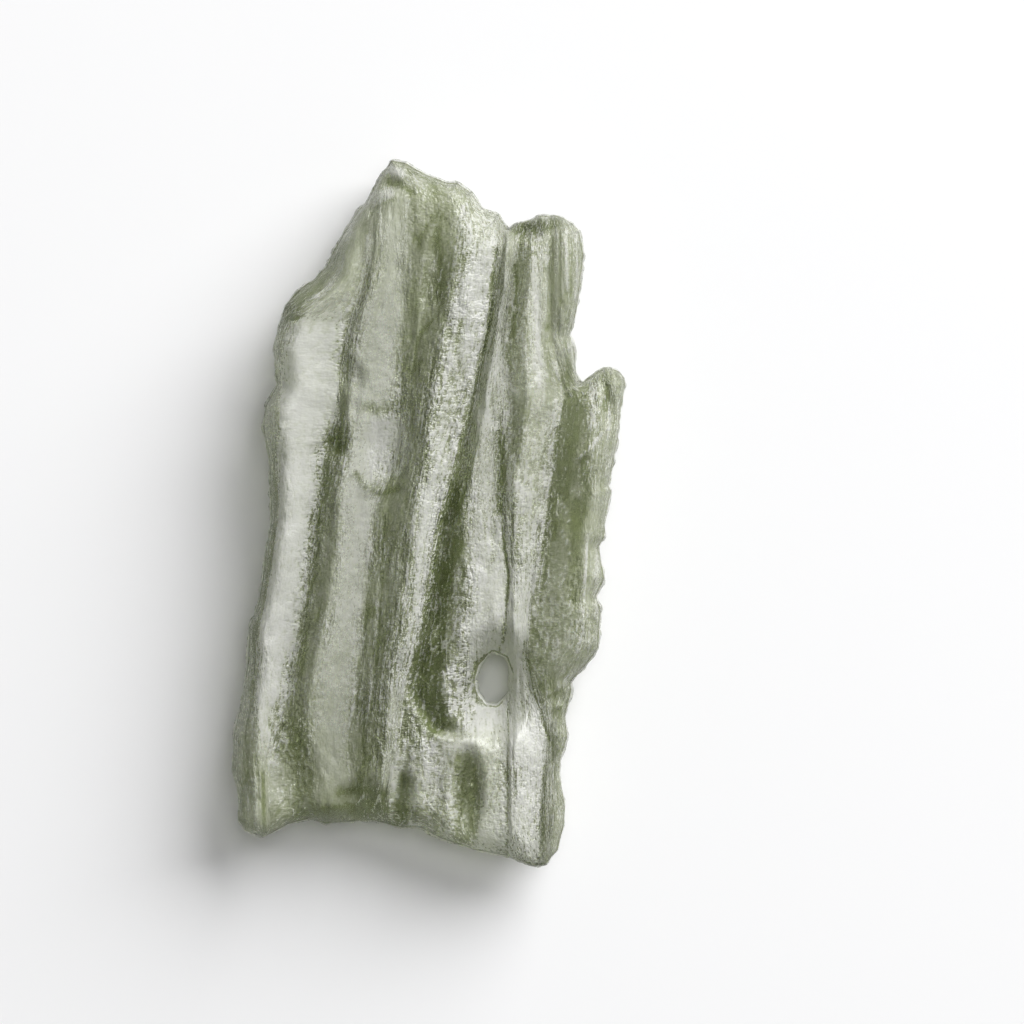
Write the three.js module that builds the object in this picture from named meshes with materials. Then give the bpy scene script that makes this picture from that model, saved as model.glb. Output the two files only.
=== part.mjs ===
// A moldavite: a flat, fluted shard of pale olive natural glass, lying on its back.
// Millimetres, +Z up, +Y along the stone towards its pointed end. The origin is on the
// surface that the stone lies on, under the middle of its box.
// It formed as one piece of glass, so it is one solid.

import * as THREE from 'three';

// Driving dimensions

const EDGE_INSET = 0.2; // how far inside the rim the two faces end and the rounded edge starts
const EDGE_BULGE = 0.17; // how far the middle of the edge stands out past the two faces
const EDGE_THICKNESS = 0.75; // thickness of the glass along the rim
const EDGE_HEIGHT = 2.35; // height of the middle of the rim
const EDGE_WAVE = 0.35; // how far the rim rises and falls along the stone
const EDGE_WAVE_LENGTH = 15; // length of one such rise and fall
const LEAST_THICKNESS = 0.45; // thinnest glass anywhere, beside the window
const FRONT_SHOULDER = 1.5; // width over which the front face rounds over to the rim
const BACK_SHOULDER = 2.6; // width over which the back rounds up to the rim
const POCKET_DEPTH = 2.7; // how far the pocket's floor lies below the front face
const POCKET_WALL = 0.55; // width of the pocket's steep wall, under its brink
const FACET_ACROSS = 0.43; // facet size across the flutes
const FACET_ALONG = 0.74; // facet size along the flutes
const MARGIN = 3; // how far the facets are laid out past the outermost crests
const SNAP = 0.15; // a facet corner this near the rim is moved onto it,
const SNAP_SHARE = 0.35; // but never by more than this share of its facet's width
const INSET_PASSES = 4; // how often a corner is moved towards the inset line, nearer each time

const GLASS = { color: 0x8f9a6c, roughness: 0.38, metalness: 0 };

// The rim seen from above, from the pointed end and round by the right, as [x, y]
const RIM = [
  [-1.95, 17.75], [-1.15, 17.6], [-0.65, 17.3], [-0.1, 17.0], [0.95, 16.6], [1.4, 16.6],
  [2.15, 16.1], [2.75, 15.3], [3.15, 15.1], [3.55, 15.0], [3.95, 14.3], [4.25, 14.55],
  [5.05, 14.75], [5.4, 14.95], [6.25, 15.0], [6.75, 14.85], [7.2, 14.55], [7.6, 14.1],
  [7.8, 12.9], [7.6, 11.05], [7.45, 10.05], [7.1, 8.9], [7.35, 8.3], [7.45, 7.0],
  [7.6, 6.65], [8.25, 7.1], [8.65, 7.35], [9.1, 7.35], [9.55, 7.15], [9.85, 6.8],
  [9.9, 6.3], [9.65, 5.25], [9.6, 4.15], [9.3, 2.5], [9.05, 1.4], [9.2, 1.1],
  [8.9, -0.2], [8.8, -1.35], [8.55, -1.75], [8.85, -3.3], [8.45, -4.2], [8.65, -4.75],
  [8.55, -6.8], [8.05, -7.5], [7.15, -8.5], [7.2, -8.9], [6.9, -10.15], [7.0, -11.25],
  [6.65, -12.35], [6.6, -13.1], [6.9, -14.65], [6.85, -15.6], [6.5, -16.95], [5.85, -17.75],
  [5.1, -17.75], [3.8, -17.3], [2.25, -17.0], [0.6, -16.45], [-0.45, -15.9], [-1.45, -15.9],
  [-2.75, -15.55], [-3.95, -15.6], [-5.2, -15.7], [-6.0, -15.45], [-7.0, -15.7], [-7.9, -16.2],
  [-8.35, -16.35], [-9.25, -16.0], [-9.65, -15.4], [-9.55, -14.35], [-9.95, -12.95], [-9.9, -11.25],
  [-9.5, -9.5], [-9.15, -7.35], [-9.1, -5.75], [-8.6, -4.4], [-8.35, -2.85], [-8.25, -1.7],
  [-8.0, -0.35], [-8.05, 1.1], [-8.1, 2.6], [-8.4, 4.25], [-8.3, 5.35], [-7.7, 6.4],
  [-7.9, 8.15], [-7.55, 9.55], [-7.3, 10.4], [-6.55, 11.25], [-5.85, 11.75], [-5.2, 12.4],
  [-4.85, 13.2], [-4.25, 14.25], [-3.6, 15.25], [-3.25, 15.55], [-2.65, 16.7],
];

// The window, where the floor of the pocket has broken through
const WINDOW = [
  [3.2, -7.15], [3.7, -7.4], [3.95, -8.1], [3.85, -8.9], [3.3, -9.5], [2.9, -9.45],
  [2.55, -9.0], [2.45, -8.4], [2.6, -7.8], [2.95, -7.35],
];

// Crests and valleys of the front face, from left to right. Each runs the length of the
// stone as [x, y, z] from the pointed end down.
const FRONT_LINES = {
  leftCrest: [
    [-3.2, 15.4, 4.8], [-3.85, 14.15, 4.9], [-4.1, 12.9, 4.95], [-4.45, 11.55, 5.0],
    [-5.1, 10.75, 5.1], [-6.05, 10.1, 5.2], [-6.9, 9.4, 5.25], [-7.25, 8.4, 5.3],
    [-7.45, 6.0, 5.3], [-7.5, 0.65, 5.2], [-7.7, -2.35, 5.1], [-8.1, -4.6, 5.0],
    [-8.35, -6.35, 4.9], [-8.45, -9.35, 4.8], [-8.4, -12.35, 4.5], [-8.15, -16.1, 4.3],
  ],
  leftValley: [
    [-2.8, 14.9, 4.75], [-2.95, 13.15, 4.75], [-3.45, 11.15, 4.65], [-3.95, 9.65, 4.5],
    [-4.3, 8.15, 4.35], [-4.55, 6.15, 4.2], [-4.85, 4.15, 3.9], [-5.25, 2.65, 3.75],
    [-5.55, 0.65, 3.75], [-5.9, -1.35, 3.75], [-6.25, -3.85, 3.75], [-6.55, -5.85, 3.7],
    [-6.95, -7.6, 3.7], [-7.1, -9.35, 3.7], [-7.45, -10.85, 3.7], [-7.85, -12.35, 3.75],
    [-7.9, -16.1, 4.0],
  ],
  panelLeft: [
    [-2.35, 14.9, 4.9], [-2.45, 13.15, 4.95], [-2.75, 11.15, 4.95], [-3.25, 9.65, 4.85],
    [-3.65, 8.15, 4.75], [-3.85, 5.65, 4.65], [-3.95, 3.65, 4.65], [-4.2, 2.15, 4.7],
    [-4.55, 0.65, 4.75], [-4.75, -1.35, 4.75], [-4.95, -3.85, 4.75], [-5.35, -6.35, 4.7],
    [-5.85, -8.35, 4.6], [-5.95, -10.35, 4.35], [-5.85, -12.35, 4.15], [-5.7, -15.35, 4.1],
  ],
  panelRight: [
    [-1.2, 15.15, 4.7], [-1.1, 12.65, 4.7], [-1.25, 9.65, 4.6], [-1.45, 7.15, 4.5],
    [-1.6, 3.65, 4.45], [-2.05, 1.65, 4.5], [-2.65, 0.15, 4.5], [-2.85, -1.85, 4.5],
    [-3.05, -4.35, 4.45], [-3.25, -6.85, 4.4], [-3.55, -9.35, 4.25], [-3.95, -11.35, 4.0],
    [-3.95, -14.35, 3.8],
  ],
  middleCrest: [
    [1.95, 14.9, 5.3], [1.65, 13.15, 5.5], [1.3, 11.15, 5.6], [0.9, 9.15, 5.7], [0.65, 7.65, 5.75],
    [0.25, 5.65, 5.8], [-0.15, 3.15, 5.8], [-0.55, 0.65, 5.8], [-0.85, -1.35, 5.75],
    [-1.05, -3.35, 5.7], [-1.35, -5.35, 5.6], [-1.65, -6.85, 5.5], [-1.95, -8.35, 5.3],
    [-2.05, -10.35, 5.0], [-2.15, -12.35, 4.7], [-2.4, -14.35, 4.2],
  ],
  middleLedge: [
    [3.35, 13.65, 4.95], [3.2, 12.15, 5.0], [3.0, 10.65, 5.05], [2.75, 9.15, 5.1],
    [2.4, 7.65, 5.1], [2.15, 6.15, 5.1], [1.85, 4.65, 5.1], [1.55, 3.65, 5.1], [1.0, 1.65, 5.15],
    [0.75, 0.65, 5.2], [0.35, -1.1, 5.2], [0.15, -2.35, 5.15], [-0.1, -3.85, 5.1],
    [-0.4, -5.35, 5.0], [-0.7, -6.85, 4.9], [-1.05, -8.35, 4.75], [-1.3, -9.85, 4.5],
    [-1.55, -11.85, 4.3], [-1.85, -13.35, 4.1], [-2.05, -14.85, 3.9],
  ],
  middleFurrow: [
    [3.6, 13.15, 4.6], [3.4, 11.65, 4.5], [3.2, 10.4, 4.4], [2.95, 9.15, 4.25], [2.65, 7.65, 4.15],
    [2.4, 6.15, 4.05], [2.15, 4.9, 3.95], [1.85, 3.4, 3.75], [1.5, 1.65, 3.8], [1.25, 0.65, 4.1],
    [0.9, -1.35, 4.35], [0.65, -2.85, 4.4], [0.45, -4.35, 4.4], [0.15, -6.35, 4.4],
    [-0.2, -8.35, 4.4], [-0.3, -9.85, 4.3], [-0.35, -11.85, 4.25], [-0.4, -13.35, 4.2],
    [-0.5, -15.5, 4.1],
  ],
  pocketBank: [
    [3.85, 13.4, 4.85], [3.65, 11.15, 4.9], [3.45, 9.65, 4.9], [3.15, 8.15, 4.85],
    [2.85, 6.15, 4.75], [2.6, 4.65, 4.65], [2.4, 3.15, 4.6], [2.15, 1.65, 4.55],
    [1.95, -0.35, 4.5], [1.95, -2.35, 4.45], [1.9, -4.35, 4.4], [1.8, -6.35, 4.35],
    [1.7, -8.35, 4.3], [1.6, -9.85, 4.25], [1.6, -11.6, 4.2], [1.3, -13.35, 4.15],
    [1.3, -16.2, 4.0],
  ],
  seamValley: [
    [4.3, 13.4, 4.4], [4.15, 11.65, 4.25], [3.95, 10.15, 4.1], [3.8, 8.65, 4.1], [3.8, 6.65, 4.25],
    [3.8, 4.65, 4.25], [3.6, 3.15, 4.1], [3.55, 1.65, 4.0], [3.6, 0.15, 3.95], [3.7, -1.35, 3.9],
    [3.85, -3.1, 3.85], [3.85, -4.85, 3.8], [3.8, -6.35, 3.7], [3.75, -8.35, 3.6],
    [3.75, -9.85, 3.7], [3.8, -11.0, 3.85], [3.85, -12.35, 4.0], [3.9, -14.35, 4.05],
    [3.9, -17.25, 4.0],
  ],
  seamCrest: [
    [5.05, 13.4, 4.95], [5.0, 11.65, 5.05], [4.9, 10.15, 5.05], [4.75, 8.15, 5.0],
    [4.75, 5.65, 5.0], [4.55, 3.65, 4.9], [4.25, 1.65, 4.8], [4.15, -0.35, 4.6],
    [4.25, -2.35, 4.4], [4.3, -4.35, 4.2], [4.3, -6.85, 4.0], [4.3, -9.35, 3.95],
    [4.25, -11.85, 4.1], [4.3, -14.35, 4.15], [4.4, -17.25, 4.1],
  ],
  crease: [
    [6.0, 13.4, 4.55], [6.0, 10.65, 4.5], [6.1, 8.65, 4.4], [6.45, 7.15, 4.15], [6.75, 6.05, 3.85],
    [6.65, 5.15, 3.7], [6.45, 4.15, 3.6], [6.3, 3.15, 3.55], [6.15, 1.9, 3.5], [6.0, 0.65, 3.5],
    [5.85, -0.35, 3.5], [5.6, -1.85, 3.45], [5.35, -3.35, 3.4], [5.05, -4.85, 3.3],
    [4.95, -6.85, 3.2], [5.05, -8.1, 3.2], [5.3, -9.1, 3.2], [5.6, -10.1, 3.2],
    [5.75, -11.1, 3.25], [5.8, -12.35, 3.3], [5.6, -13.85, 3.35], [5.5, -15.35, 3.35],
    [5.45, -16.85, 3.3],
  ],
  rightCrest: [
    [6.7, 13.4, 4.95], [6.75, 11.15, 4.95], [6.75, 9.15, 4.8], [7.1, 7.4, 4.4], [7.7, 6.3, 4.4],
    [8.0, 5.4, 4.6], [8.05, 4.65, 4.65], [7.95, 3.15, 4.6], [7.85, 1.65, 4.5], [7.9, -0.35, 4.45],
    [7.85, -1.85, 4.4], [7.7, -4.35, 4.3], [7.55, -6.35, 4.2], [7.2, -7.6, 4.1], [6.8, -9.1, 3.95],
    [6.45, -10.1, 3.9], [6.4, -12.35, 3.85], [6.35, -14.35, 3.85], [6.2, -16.85, 3.7],
  ],
};

// The pocket: its brink runs down the steep left side and round the foot, and its bank runs
// up the right side, where the floor has risen to the front face again
const POCKET_BRINK = [
  [1.3, 2.4], [0.95, 1.2], [0.5, -0.5], [0.2, -2.35], [-0.1, -3.85], [-0.4, -5.35], [-0.75, -6.85],
  [-1.15, -8.35], [-1.1, -9.1], [-0.7, -9.85], [-0.25, -10.45], [0.05, -11.0], [0.65, -11.25],
  [1.45, -11.4], [2.3, -11.25],
];
const POCKET_BANK = [
  [2.3, -11.25], [1.85, -10.2], [1.7, -8.5], [1.75, -6.5], [1.8, -4.2], [1.85, -2.2], [1.75, -0.4],
  [1.5, 1.2], [1.3, 2.4],
];

// Grooves and ribs of the back, from left to right, as [x, y, z] from the pointed end down.
// What would lie below zero is worn flat, and the stone rests on it.
const BACK_LINES = {
  leftGroove: [
    [-4.2, 13.5, 1.0], [-5.6, 6.0, 0.9], [-6.3, -2.0, 0.75], [-7.2, -9.0, 0.9],
    [-7.8, -15.5, 1.0],
  ],
  leftRib: [
    [-2.6, 14.5, 0.35], [-3.7, 8.0, -0.2], [-4.2, 2.5, 0.1], [-4.8, -4.0, 0.2], [-5.6, -9.5, -0.3],
    [-6.3, -15.0, 0.3],
  ],
  middleGroove: [
    [-0.6, 15.0, 0.8], [-1.9, 7.0, 0.9], [-2.3, -1.0, 1.1], [-3.2, -9.0, 0.8],
    [-4.2, -15.0, 0.7],
  ],
  middleRib: [
    [1.4, 14.8, 0.3], [0.7, 10.0, -0.3], [0.1, 4.5, 0.15], [-0.4, -1.0, -0.1], [-0.8, -6.5, 0.2],
    [-1.4, -12.0, -0.3], [-1.8, -15.0, 0.2],
  ],
  windowGroove: [[3.4, 14.0, 0.8], [3.0, 7.0, 0.9], [2.6, -1.0, 1.0], [2.8, -8.4, 1.15], [1.4, -15.8, 0.8]],
  rightRib: [
    [5.2, 14.0, 0.35], [5.2, 8.5, 0.1], [5.3, 3.0, -0.35], [5.2, -3.5, 0.1], [5.0, -9.0, 0.0],
    [4.7, -12.5, -0.5], [4.5, -16.0, 0.2],
  ],
  rightGroove: [[6.9, 13.5, 0.9], [7.6, 6.0, 0.8], [7.3, -1.0, 0.9], [6.9, -8.0, 1.0], [6.2, -16.0, 0.9]],
};

// Dents and lumps of the front face: middle, half lengths across and along, turn in degrees
// (anticlockwise), and lift, which is negative for a dent
const FRONT_SPOTS = [
  { at: [-2.3, 3.4], half: [1.25, 1.9], turn: -8, lift: -0.7 }, // oval dish on the panel
  { at: [-2.6, 1.3], half: [1.3, 0.7], turn: 12, lift: 0.28 }, // its raised lower lip
  { at: [-4.55, 3.4], half: [0.7, 1.1], turn: -14, lift: -0.6 }, // pit in the left valley
  { at: [-3.8, 6.8], half: [0.8, 1.2], turn: 10, lift: -0.3 }, // shallow dent above the pit
  { at: [4.9, 14.1], half: [1.0, 0.9], turn: 0, lift: -1.1 }, // bowl at the head of the right lobe
  { at: [0.3, 11.6], half: [0.9, 3.4], turn: -9, lift: -0.45 }, // trough left of the middle crest
  { at: [3.15, -8.6], half: [1.6, 2.7], turn: 0, lift: -2.3 }, // hollow round the window
  { at: [0.1, -6.4], half: [0.35, 1.1], turn: -22, lift: 0.6 }, // small curl on the pocket floor
  { at: [1.9, -14.2], half: [0.95, 3.0], turn: -2, lift: -1.35 }, // furrow below the pocket
  { at: [-1.35, -14.6], half: [0.65, 2.2], turn: -6, lift: -1.15 }, // wedge beside it
  { at: [-6.6, -13.6], half: [1.5, 2.6], turn: -4, lift: -0.55 }, // broad hollow at the lower left
  { at: [-3.3, -14.4], half: [1.6, 1.4], turn: 0, lift: -0.6 }, // dark dip by the lower rim
  { at: [-1.9, 16.4], half: [0.9, 0.6], turn: 20, lift: -0.5 }, // rough break at the point
  { at: [8.9, 5.2], half: [0.45, 1.7], turn: 8, lift: -0.45 }, // groove down the ear
  { at: [7.7, 2.9], half: [0.9, 0.35], turn: 38, lift: 0.35 }, // slanting fold across the ear
  { at: [7.2, 0.6], half: [0.9, 2.2], turn: 0, lift: -0.35 }, // hollow under the fold
];

// Breaks that slope away from a brink to the rim. The stone falls away on the left of the
// brink, as it is walked from its first point to its last.
const BREAKS = [
  {
    brink: [
      [-7.6, 8.6], [-6.9, 9.4], [-6.05, 10.1], [-5.1, 10.75], [-4.45, 11.55], [-4.1, 12.9],
      [-3.9, 13.8],
    ],
    slope: 0.95,
  },
  { brink: [[-3.6, 15.0], [-2.6, 15.6], [-1.4, 15.7], [-0.2, 16.2], [1.2, 16.0]], slope: 0.6 },
  { brink: [[-0.6, -15.2], [-1.9, -14.9], [-3.4, -14.6], [-4.6, -14.9], [-6.2, -15.3]], slope: 0.9 },
  { brink: [[8.5, -6.6], [7.6, -7.4], [6.8, -8.2], [6.1, -9.2]], slope: 0.8 },
];
const BREAK_REACH = 3; // how far past its brink a break still slopes away
const BREAK_FADE = 0.8; // length over which a break dies away past the ends of its brink

const { clamp, lerp, degToRad } = THREE.MathUtils;

/** Eases from 0 to 1, with no slope at either end. */
function ease(t) {
  const c = clamp(t, 0, 1);
  return c * c * (3 - 2 * c);
}

/** Nearest point of a run of straight stretches to (x, y), with its distance and side. */
function nearest(points, x, y, closed) {
  const best = { distance: Infinity };
  const count = closed ? points.length : points.length - 1;
  for (let i = 0; i < count; i += 1) {
    const [ax, ay] = points[i];
    const [bx, by] = points[(i + 1) % points.length];
    const along = (x - ax) * (bx - ax) + (y - ay) * (by - ay);
    const t = clamp(along / ((bx - ax) ** 2 + (by - ay) ** 2), 0, 1);
    const px = lerp(ax, bx, t);
    const py = lerp(ay, by, t);
    const distance = Math.hypot(x - px, y - py);
    if (distance < best.distance) {
      const left = (bx - ax) * (y - ay) - (by - ay) * (x - ax) > 0;
      const beyond = !closed && ((i === 0 && t === 0) || (i === count - 1 && t === 1));
      Object.assign(best, { distance, px, py, left, beyond });
    }
  }
  return best;
}

/** Whether a closed run of straight stretches goes round (x, y). */
function encloses(points, x, y) {
  let inside = false;
  for (let i = 0, j = points.length - 1; i < points.length; j = i, i += 1) {
    const [ax, ay] = points[i];
    const [bx, by] = points[j];
    if (ay > y !== by > y && x < ((bx - ax) * (y - ay)) / (by - ay) + ax) inside = !inside;
  }
  return inside;
}

/** Distance from (x, y) to the edge of the glass: positive in the glass, negative in the open. */
function edgeDistance(x, y) {
  const rim = nearest(RIM, x, y, true);
  const window = nearest(WINDOW, x, y, true);
  const near = rim.distance < window.distance ? rim : window;
  const glass = encloses(RIM, x, y) && !encloses(WINDOW, x, y);
  return { ...near, value: glass ? near.distance : -near.distance };
}

/** How far (x, y) lies inside the line where the two faces end. */
function rimDepth(x, y) {
  return encloses(RIM, x, y) ? Math.max(nearest(RIM, x, y, true).distance - EDGE_INSET, 0) : 0;
}

/** Where a long line lies at y: its x and its z, on a smooth curve through its points. */
function lineAt(line, y) {
  const last = line.length - 1;
  if (y >= line[0][1]) return [line[0][0], line[0][2]];
  if (y <= line[last][1]) return [line[last][0], line[last][2]];
  const i = line.findIndex((p, k) => k < last && y <= p[1] && y >= line[k + 1][1]);
  const [p, q] = [line[i], line[i + 1]];
  const [before, after] = [line[Math.max(i - 1, 0)], line[Math.min(i + 2, last)]];
  const span = q[1] - p[1];
  const t = (y - p[1]) / span;
  return [0, 2].map((k) => {
    const start = ((q[k] - before[k]) / (q[1] - before[1])) * span;
    const end = ((after[k] - p[k]) / (after[1] - p[1])) * span;
    const rise = q[k] - p[k];
    return p[k] + t * (start + t * (3 * rise - 2 * start - end + t * (start + end - 2 * rise)));
  });
}

/** Height at (x, y) of a face that is stretched over long lines of crests and valleys. */
function fluted(lines, x, y) {
  const stations = Object.values(lines).map((line) => lineAt(line, y));
  const right = stations.findIndex(([stationX]) => stationX > x);
  if (right === 0) return stations[0][1];
  if (right < 0) return stations[stations.length - 1][1];
  const [ax, az] = stations[right - 1];
  const [bx, bz] = stations[right];
  const t = (x - ax) / (bx - ax);
  return lerp(az, bz, (t + ease(t)) / 2);
}

/** How much one dent or lump lifts the face at (x, y). */
function spotLift({ at, half, turn, lift }, x, y) {
  const angle = degToRad(turn);
  const dx = x - at[0];
  const dy = y - at[1];
  const across = (dx * Math.cos(angle) + dy * Math.sin(angle)) / half[0];
  const along = (dy * Math.cos(angle) - dx * Math.sin(angle)) / half[1];
  return lift * Math.max(0, 1 - across ** 2 - along ** 2) ** 2;
}

/** How much one break takes off the face at (x, y). */
function breakDrop({ brink, slope }, x, y) {
  const { left, distance, beyond } = nearest(brink, x, y, false);
  if (!left || distance > BREAK_REACH) return 0;
  return slope * distance * (beyond ? Math.max(0, 1 - distance / BREAK_FADE) : 1);
}

/** How far the pocket sinks the face at (x, y): most at the foot of its steep wall. */
function pocketDrop(x, y) {
  if (!encloses([...POCKET_BRINK, ...POCKET_BANK.slice(1, -1)], x, y)) return 0;
  const fromBrink = nearest(POCKET_BRINK, x, y, false).distance;
  const fromBank = nearest(POCKET_BANK, x, y, false).distance;
  return (POCKET_DEPTH * ease(fromBrink / POCKET_WALL) * fromBank) / (fromBrink + fromBank);
}

/** 0 at the rim and 1 a shoulder's width inside it, along a quarter round. */
function shoulder(depth, width) {
  return Math.sqrt(1 - (1 - clamp(depth / width, 0, 1)) ** 2);
}

/** Height of the middle of the rim beside (x, y). */
function edgeHeight(x, y) {
  return EDGE_HEIGHT + EDGE_WAVE * Math.sin((2 * Math.PI * (y + x)) / EDGE_WAVE_LENGTH);
}

function backHeight(x, y) {
  const low = edgeHeight(x, y) - EDGE_THICKNESS / 2;
  const plain = fluted(BACK_LINES, x, y);
  return Math.max(0, lerp(low, plain, shoulder(rimDepth(x, y), BACK_SHOULDER)));
}

function frontHeight(x, y) {
  let plain = fluted(FRONT_LINES, x, y) - pocketDrop(x, y);
  for (const spot of FRONT_SPOTS) plain += spotLift(spot, x, y);
  for (const each of BREAKS) plain -= breakDrop(each, x, y);
  const low = edgeHeight(x, y) + EDGE_THICKNESS / 2;
  const rounded = plain > low ? lerp(low, plain, shoulder(rimDepth(x, y), FRONT_SHOULDER)) : plain;
  return Math.max(rounded, backHeight(x, y) + LEAST_THICKNESS);
}

/** Moves a point onto the line that runs EDGE_INSET inside the edge of the glass. */
function ontoInset(x, y) {
  const point = { x, y };
  for (let pass = 0; pass < INSET_PASSES; pass += 1) {
    const edge = edgeDistance(point.x, point.y);
    const step = (edge.value - EDGE_INSET) / edge.value;
    point.x = lerp(point.x, edge.px, step);
    point.y = lerp(point.y, edge.py, step);
  }
  return point;
}

/** How many columns of facets lie between each long line and the next. */
function columnCounts(stations) {
  const rows = stations.length;
  return stations[0].slice(1).map((_, k) => {
    const gap = stations.reduce((sum, row) => sum + row[k + 1] - row[k], 0) / rows;
    return Math.max(1, Math.round(gap / FACET_ACROSS));
  });
}

/** The corners of the facets, row by row, in columns that follow the long lines. */
function cornerGrid() {
  const top = Math.max(...RIM.map((p) => p[1])) + FACET_ALONG / 2;
  const rows = Math.ceil((2 * top) / FACET_ALONG) + 1;
  const heights = Array.from({ length: rows }, (_, j) => top - j * FACET_ALONG);
  const stations = heights.map((y) => {
    const xs = Object.values(FRONT_LINES).map((line) => lineAt(line, y)[0]);
    return [xs[0] - MARGIN, ...xs, xs[xs.length - 1] + MARGIN];
  });
  const counts = columnCounts(stations);
  return stations.map((row, j) => {
    const xs = [row[0]];
    counts.forEach((count, k) => {
      for (let i = 1; i <= count; i += 1) xs.push(lerp(row[k], row[k + 1], i / count));
    });
    return xs.map((x, i) => {
      const width = Math.min(x - (xs[i - 1] ?? -Infinity), (xs[i + 1] ?? Infinity) - x);
      const value = edgeDistance(x, heights[j]).value - EDGE_INSET;
      if (Math.abs(value) > Math.min(SNAP, SNAP_SHARE * width)) return { x, y: heights[j], value };
      return { ...ontoInset(x, heights[j]), value: 0 };
    });
  });
}

/** The outline filled with facets: their corners, and triangles that turn anticlockwise. */
function facets() {
  const grid = cornerGrid();
  const corners = grid.flat();
  const columns = grid[0].length;
  const triangles = [];
  const cuts = new Map();
  const cut = (a, b) => {
    const key = `${Math.min(a, b)},${Math.max(a, b)}`;
    if (!cuts.has(key)) {
      const [p, q] = [corners[a], corners[b]];
      const t = p.value / (p.value - q.value);
      const point = ontoInset(lerp(p.x, q.x, t), lerp(p.y, q.y, t));
      cuts.set(key, corners.push({ ...point, value: 0 }) - 1);
    }
    return cuts.get(key);
  };
  const keepInside = (...loop) => {
    if (!loop.some((k) => corners[k].value > 0)) return;
    const ring = [];
    loop.forEach((from, k) => {
      const to = loop[(k + 1) % loop.length];
      if (corners[from].value >= 0) ring.push(from);
      if (corners[from].value * corners[to].value < 0) ring.push(cut(from, to));
    });
    for (let k = 1; k + 1 < ring.length; k += 1) triangles.push([ring[0], ring[k], ring[k + 1]]);
  };
  for (let j = 0; j + 1 < grid.length; j += 1) {
    for (let i = 0; i + 1 < columns; i += 1) {
      const upper = j * columns + i;
      const lower = upper + columns;
      keepInside(lower, lower + 1, upper + 1);
      keepInside(lower, upper + 1, upper);
    }
  }
  return { corners, triangles };
}

/** The closed stone: front facets, back facets and a two-faced edge between them. */
function stoneGeometry() {
  const { corners, triangles } = facets();
  const positions = [];
  const faces = [];
  const place = (x, y, z) => positions.push(x, y, z) / 3 - 1;
  const front = new Map();
  const back = new Map();
  const middle = new Map();
  for (const k of new Set(triangles.flat())) {
    const { x, y } = corners[k];
    front.set(k, place(x, y, frontHeight(x, y)));
    back.set(k, place(x, y, backHeight(x, y)));
  }
  const edgePoint = (k) => {
    if (!middle.has(k)) {
      const { x, y } = corners[k];
      const { px, py, distance } = edgeDistance(x, y);
      const out = EDGE_BULGE / distance;
      const z = (positions[front.get(k) * 3 + 2] + positions[back.get(k) * 3 + 2]) / 2;
      middle.set(k, place(lerp(x, px, out), lerp(y, py, out), z));
    }
    return middle.get(k);
  };
  const sidesOf = ([a, b, c]) => [[a, b], [b, c], [c, a]];
  const sides = new Set(triangles.flatMap(sidesOf).map(String));
  for (const triangle of triangles) {
    const [a, b, c] = triangle;
    faces.push(front.get(a), front.get(b), front.get(c), back.get(a), back.get(c), back.get(b));
    for (const [p, q] of sidesOf(triangle)) {
      if (sides.has(String([q, p]))) continue;
      const [mp, mq] = [edgePoint(p), edgePoint(q)];
      faces.push(front.get(q), front.get(p), mp, front.get(q), mp, mq);
      faces.push(mq, mp, back.get(p), mq, back.get(p), back.get(q));
    }
  }
  const geometry = new THREE.BufferGeometry();
  geometry.setAttribute('position', new THREE.Float32BufferAttribute(positions, 3));
  geometry.setIndex(faces);
  geometry.computeBoundingBox();
  const centre = geometry.boundingBox.getCenter(new THREE.Vector3());
  geometry.translate(-centre.x, -centre.y, -geometry.boundingBox.min.z);
  geometry.computeVertexNormals();
  return geometry;
}

const stone = new THREE.Mesh(stoneGeometry(), new THREE.MeshStandardMaterial(GLASS));
stone.name = 'moldavite';

const group = new THREE.Group();
group.add(stone);

export default group;
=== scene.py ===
"""The looks of a moldavite: a flat, fluted shard of pale olive natural glass, lying on its back.

The stone is one closed mesh, finer than the solid that it stands for but on the same lines. All
its places are in millimetres, +X to the photograph's right, +Y up it and +Z out of the fluted
face. They become metres when the mesh is made.
"""

import logging
import math
from dataclasses import dataclass

import bpy
import numpy as np
from mathutils import Matrix, Vector


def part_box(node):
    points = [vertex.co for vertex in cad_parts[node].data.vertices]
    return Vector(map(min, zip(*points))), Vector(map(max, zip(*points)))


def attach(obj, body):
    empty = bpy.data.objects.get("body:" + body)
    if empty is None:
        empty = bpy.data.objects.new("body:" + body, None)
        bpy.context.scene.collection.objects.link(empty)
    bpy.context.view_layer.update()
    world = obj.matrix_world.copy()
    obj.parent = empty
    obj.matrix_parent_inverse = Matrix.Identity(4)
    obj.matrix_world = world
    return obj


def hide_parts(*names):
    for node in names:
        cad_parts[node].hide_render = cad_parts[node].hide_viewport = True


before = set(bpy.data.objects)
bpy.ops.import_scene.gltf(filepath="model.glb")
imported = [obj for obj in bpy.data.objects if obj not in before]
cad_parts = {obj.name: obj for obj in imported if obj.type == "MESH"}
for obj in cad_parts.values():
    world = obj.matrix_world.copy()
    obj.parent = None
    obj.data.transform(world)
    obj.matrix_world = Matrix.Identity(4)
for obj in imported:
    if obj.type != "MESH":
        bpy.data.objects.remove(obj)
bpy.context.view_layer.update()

log = logging.getLogger("moldavite")

Array = np.ndarray
Point = tuple[float, float]
Station = tuple[float, float, float]
Colour = tuple[float, float, float]
Tone = tuple[float, float, float]
Grain = tuple[float, float, float]
Line = tuple[Station, ...]
Triangle = tuple[int, int, int]

MM = 0.001
NODE = "moldavite"
PIECE = NODE + "_glass"
BODY = "root"
SLOT = "etched_glass"

# Knots of the seeded noise each way, after which it comes again
KNOTS = 256

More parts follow.
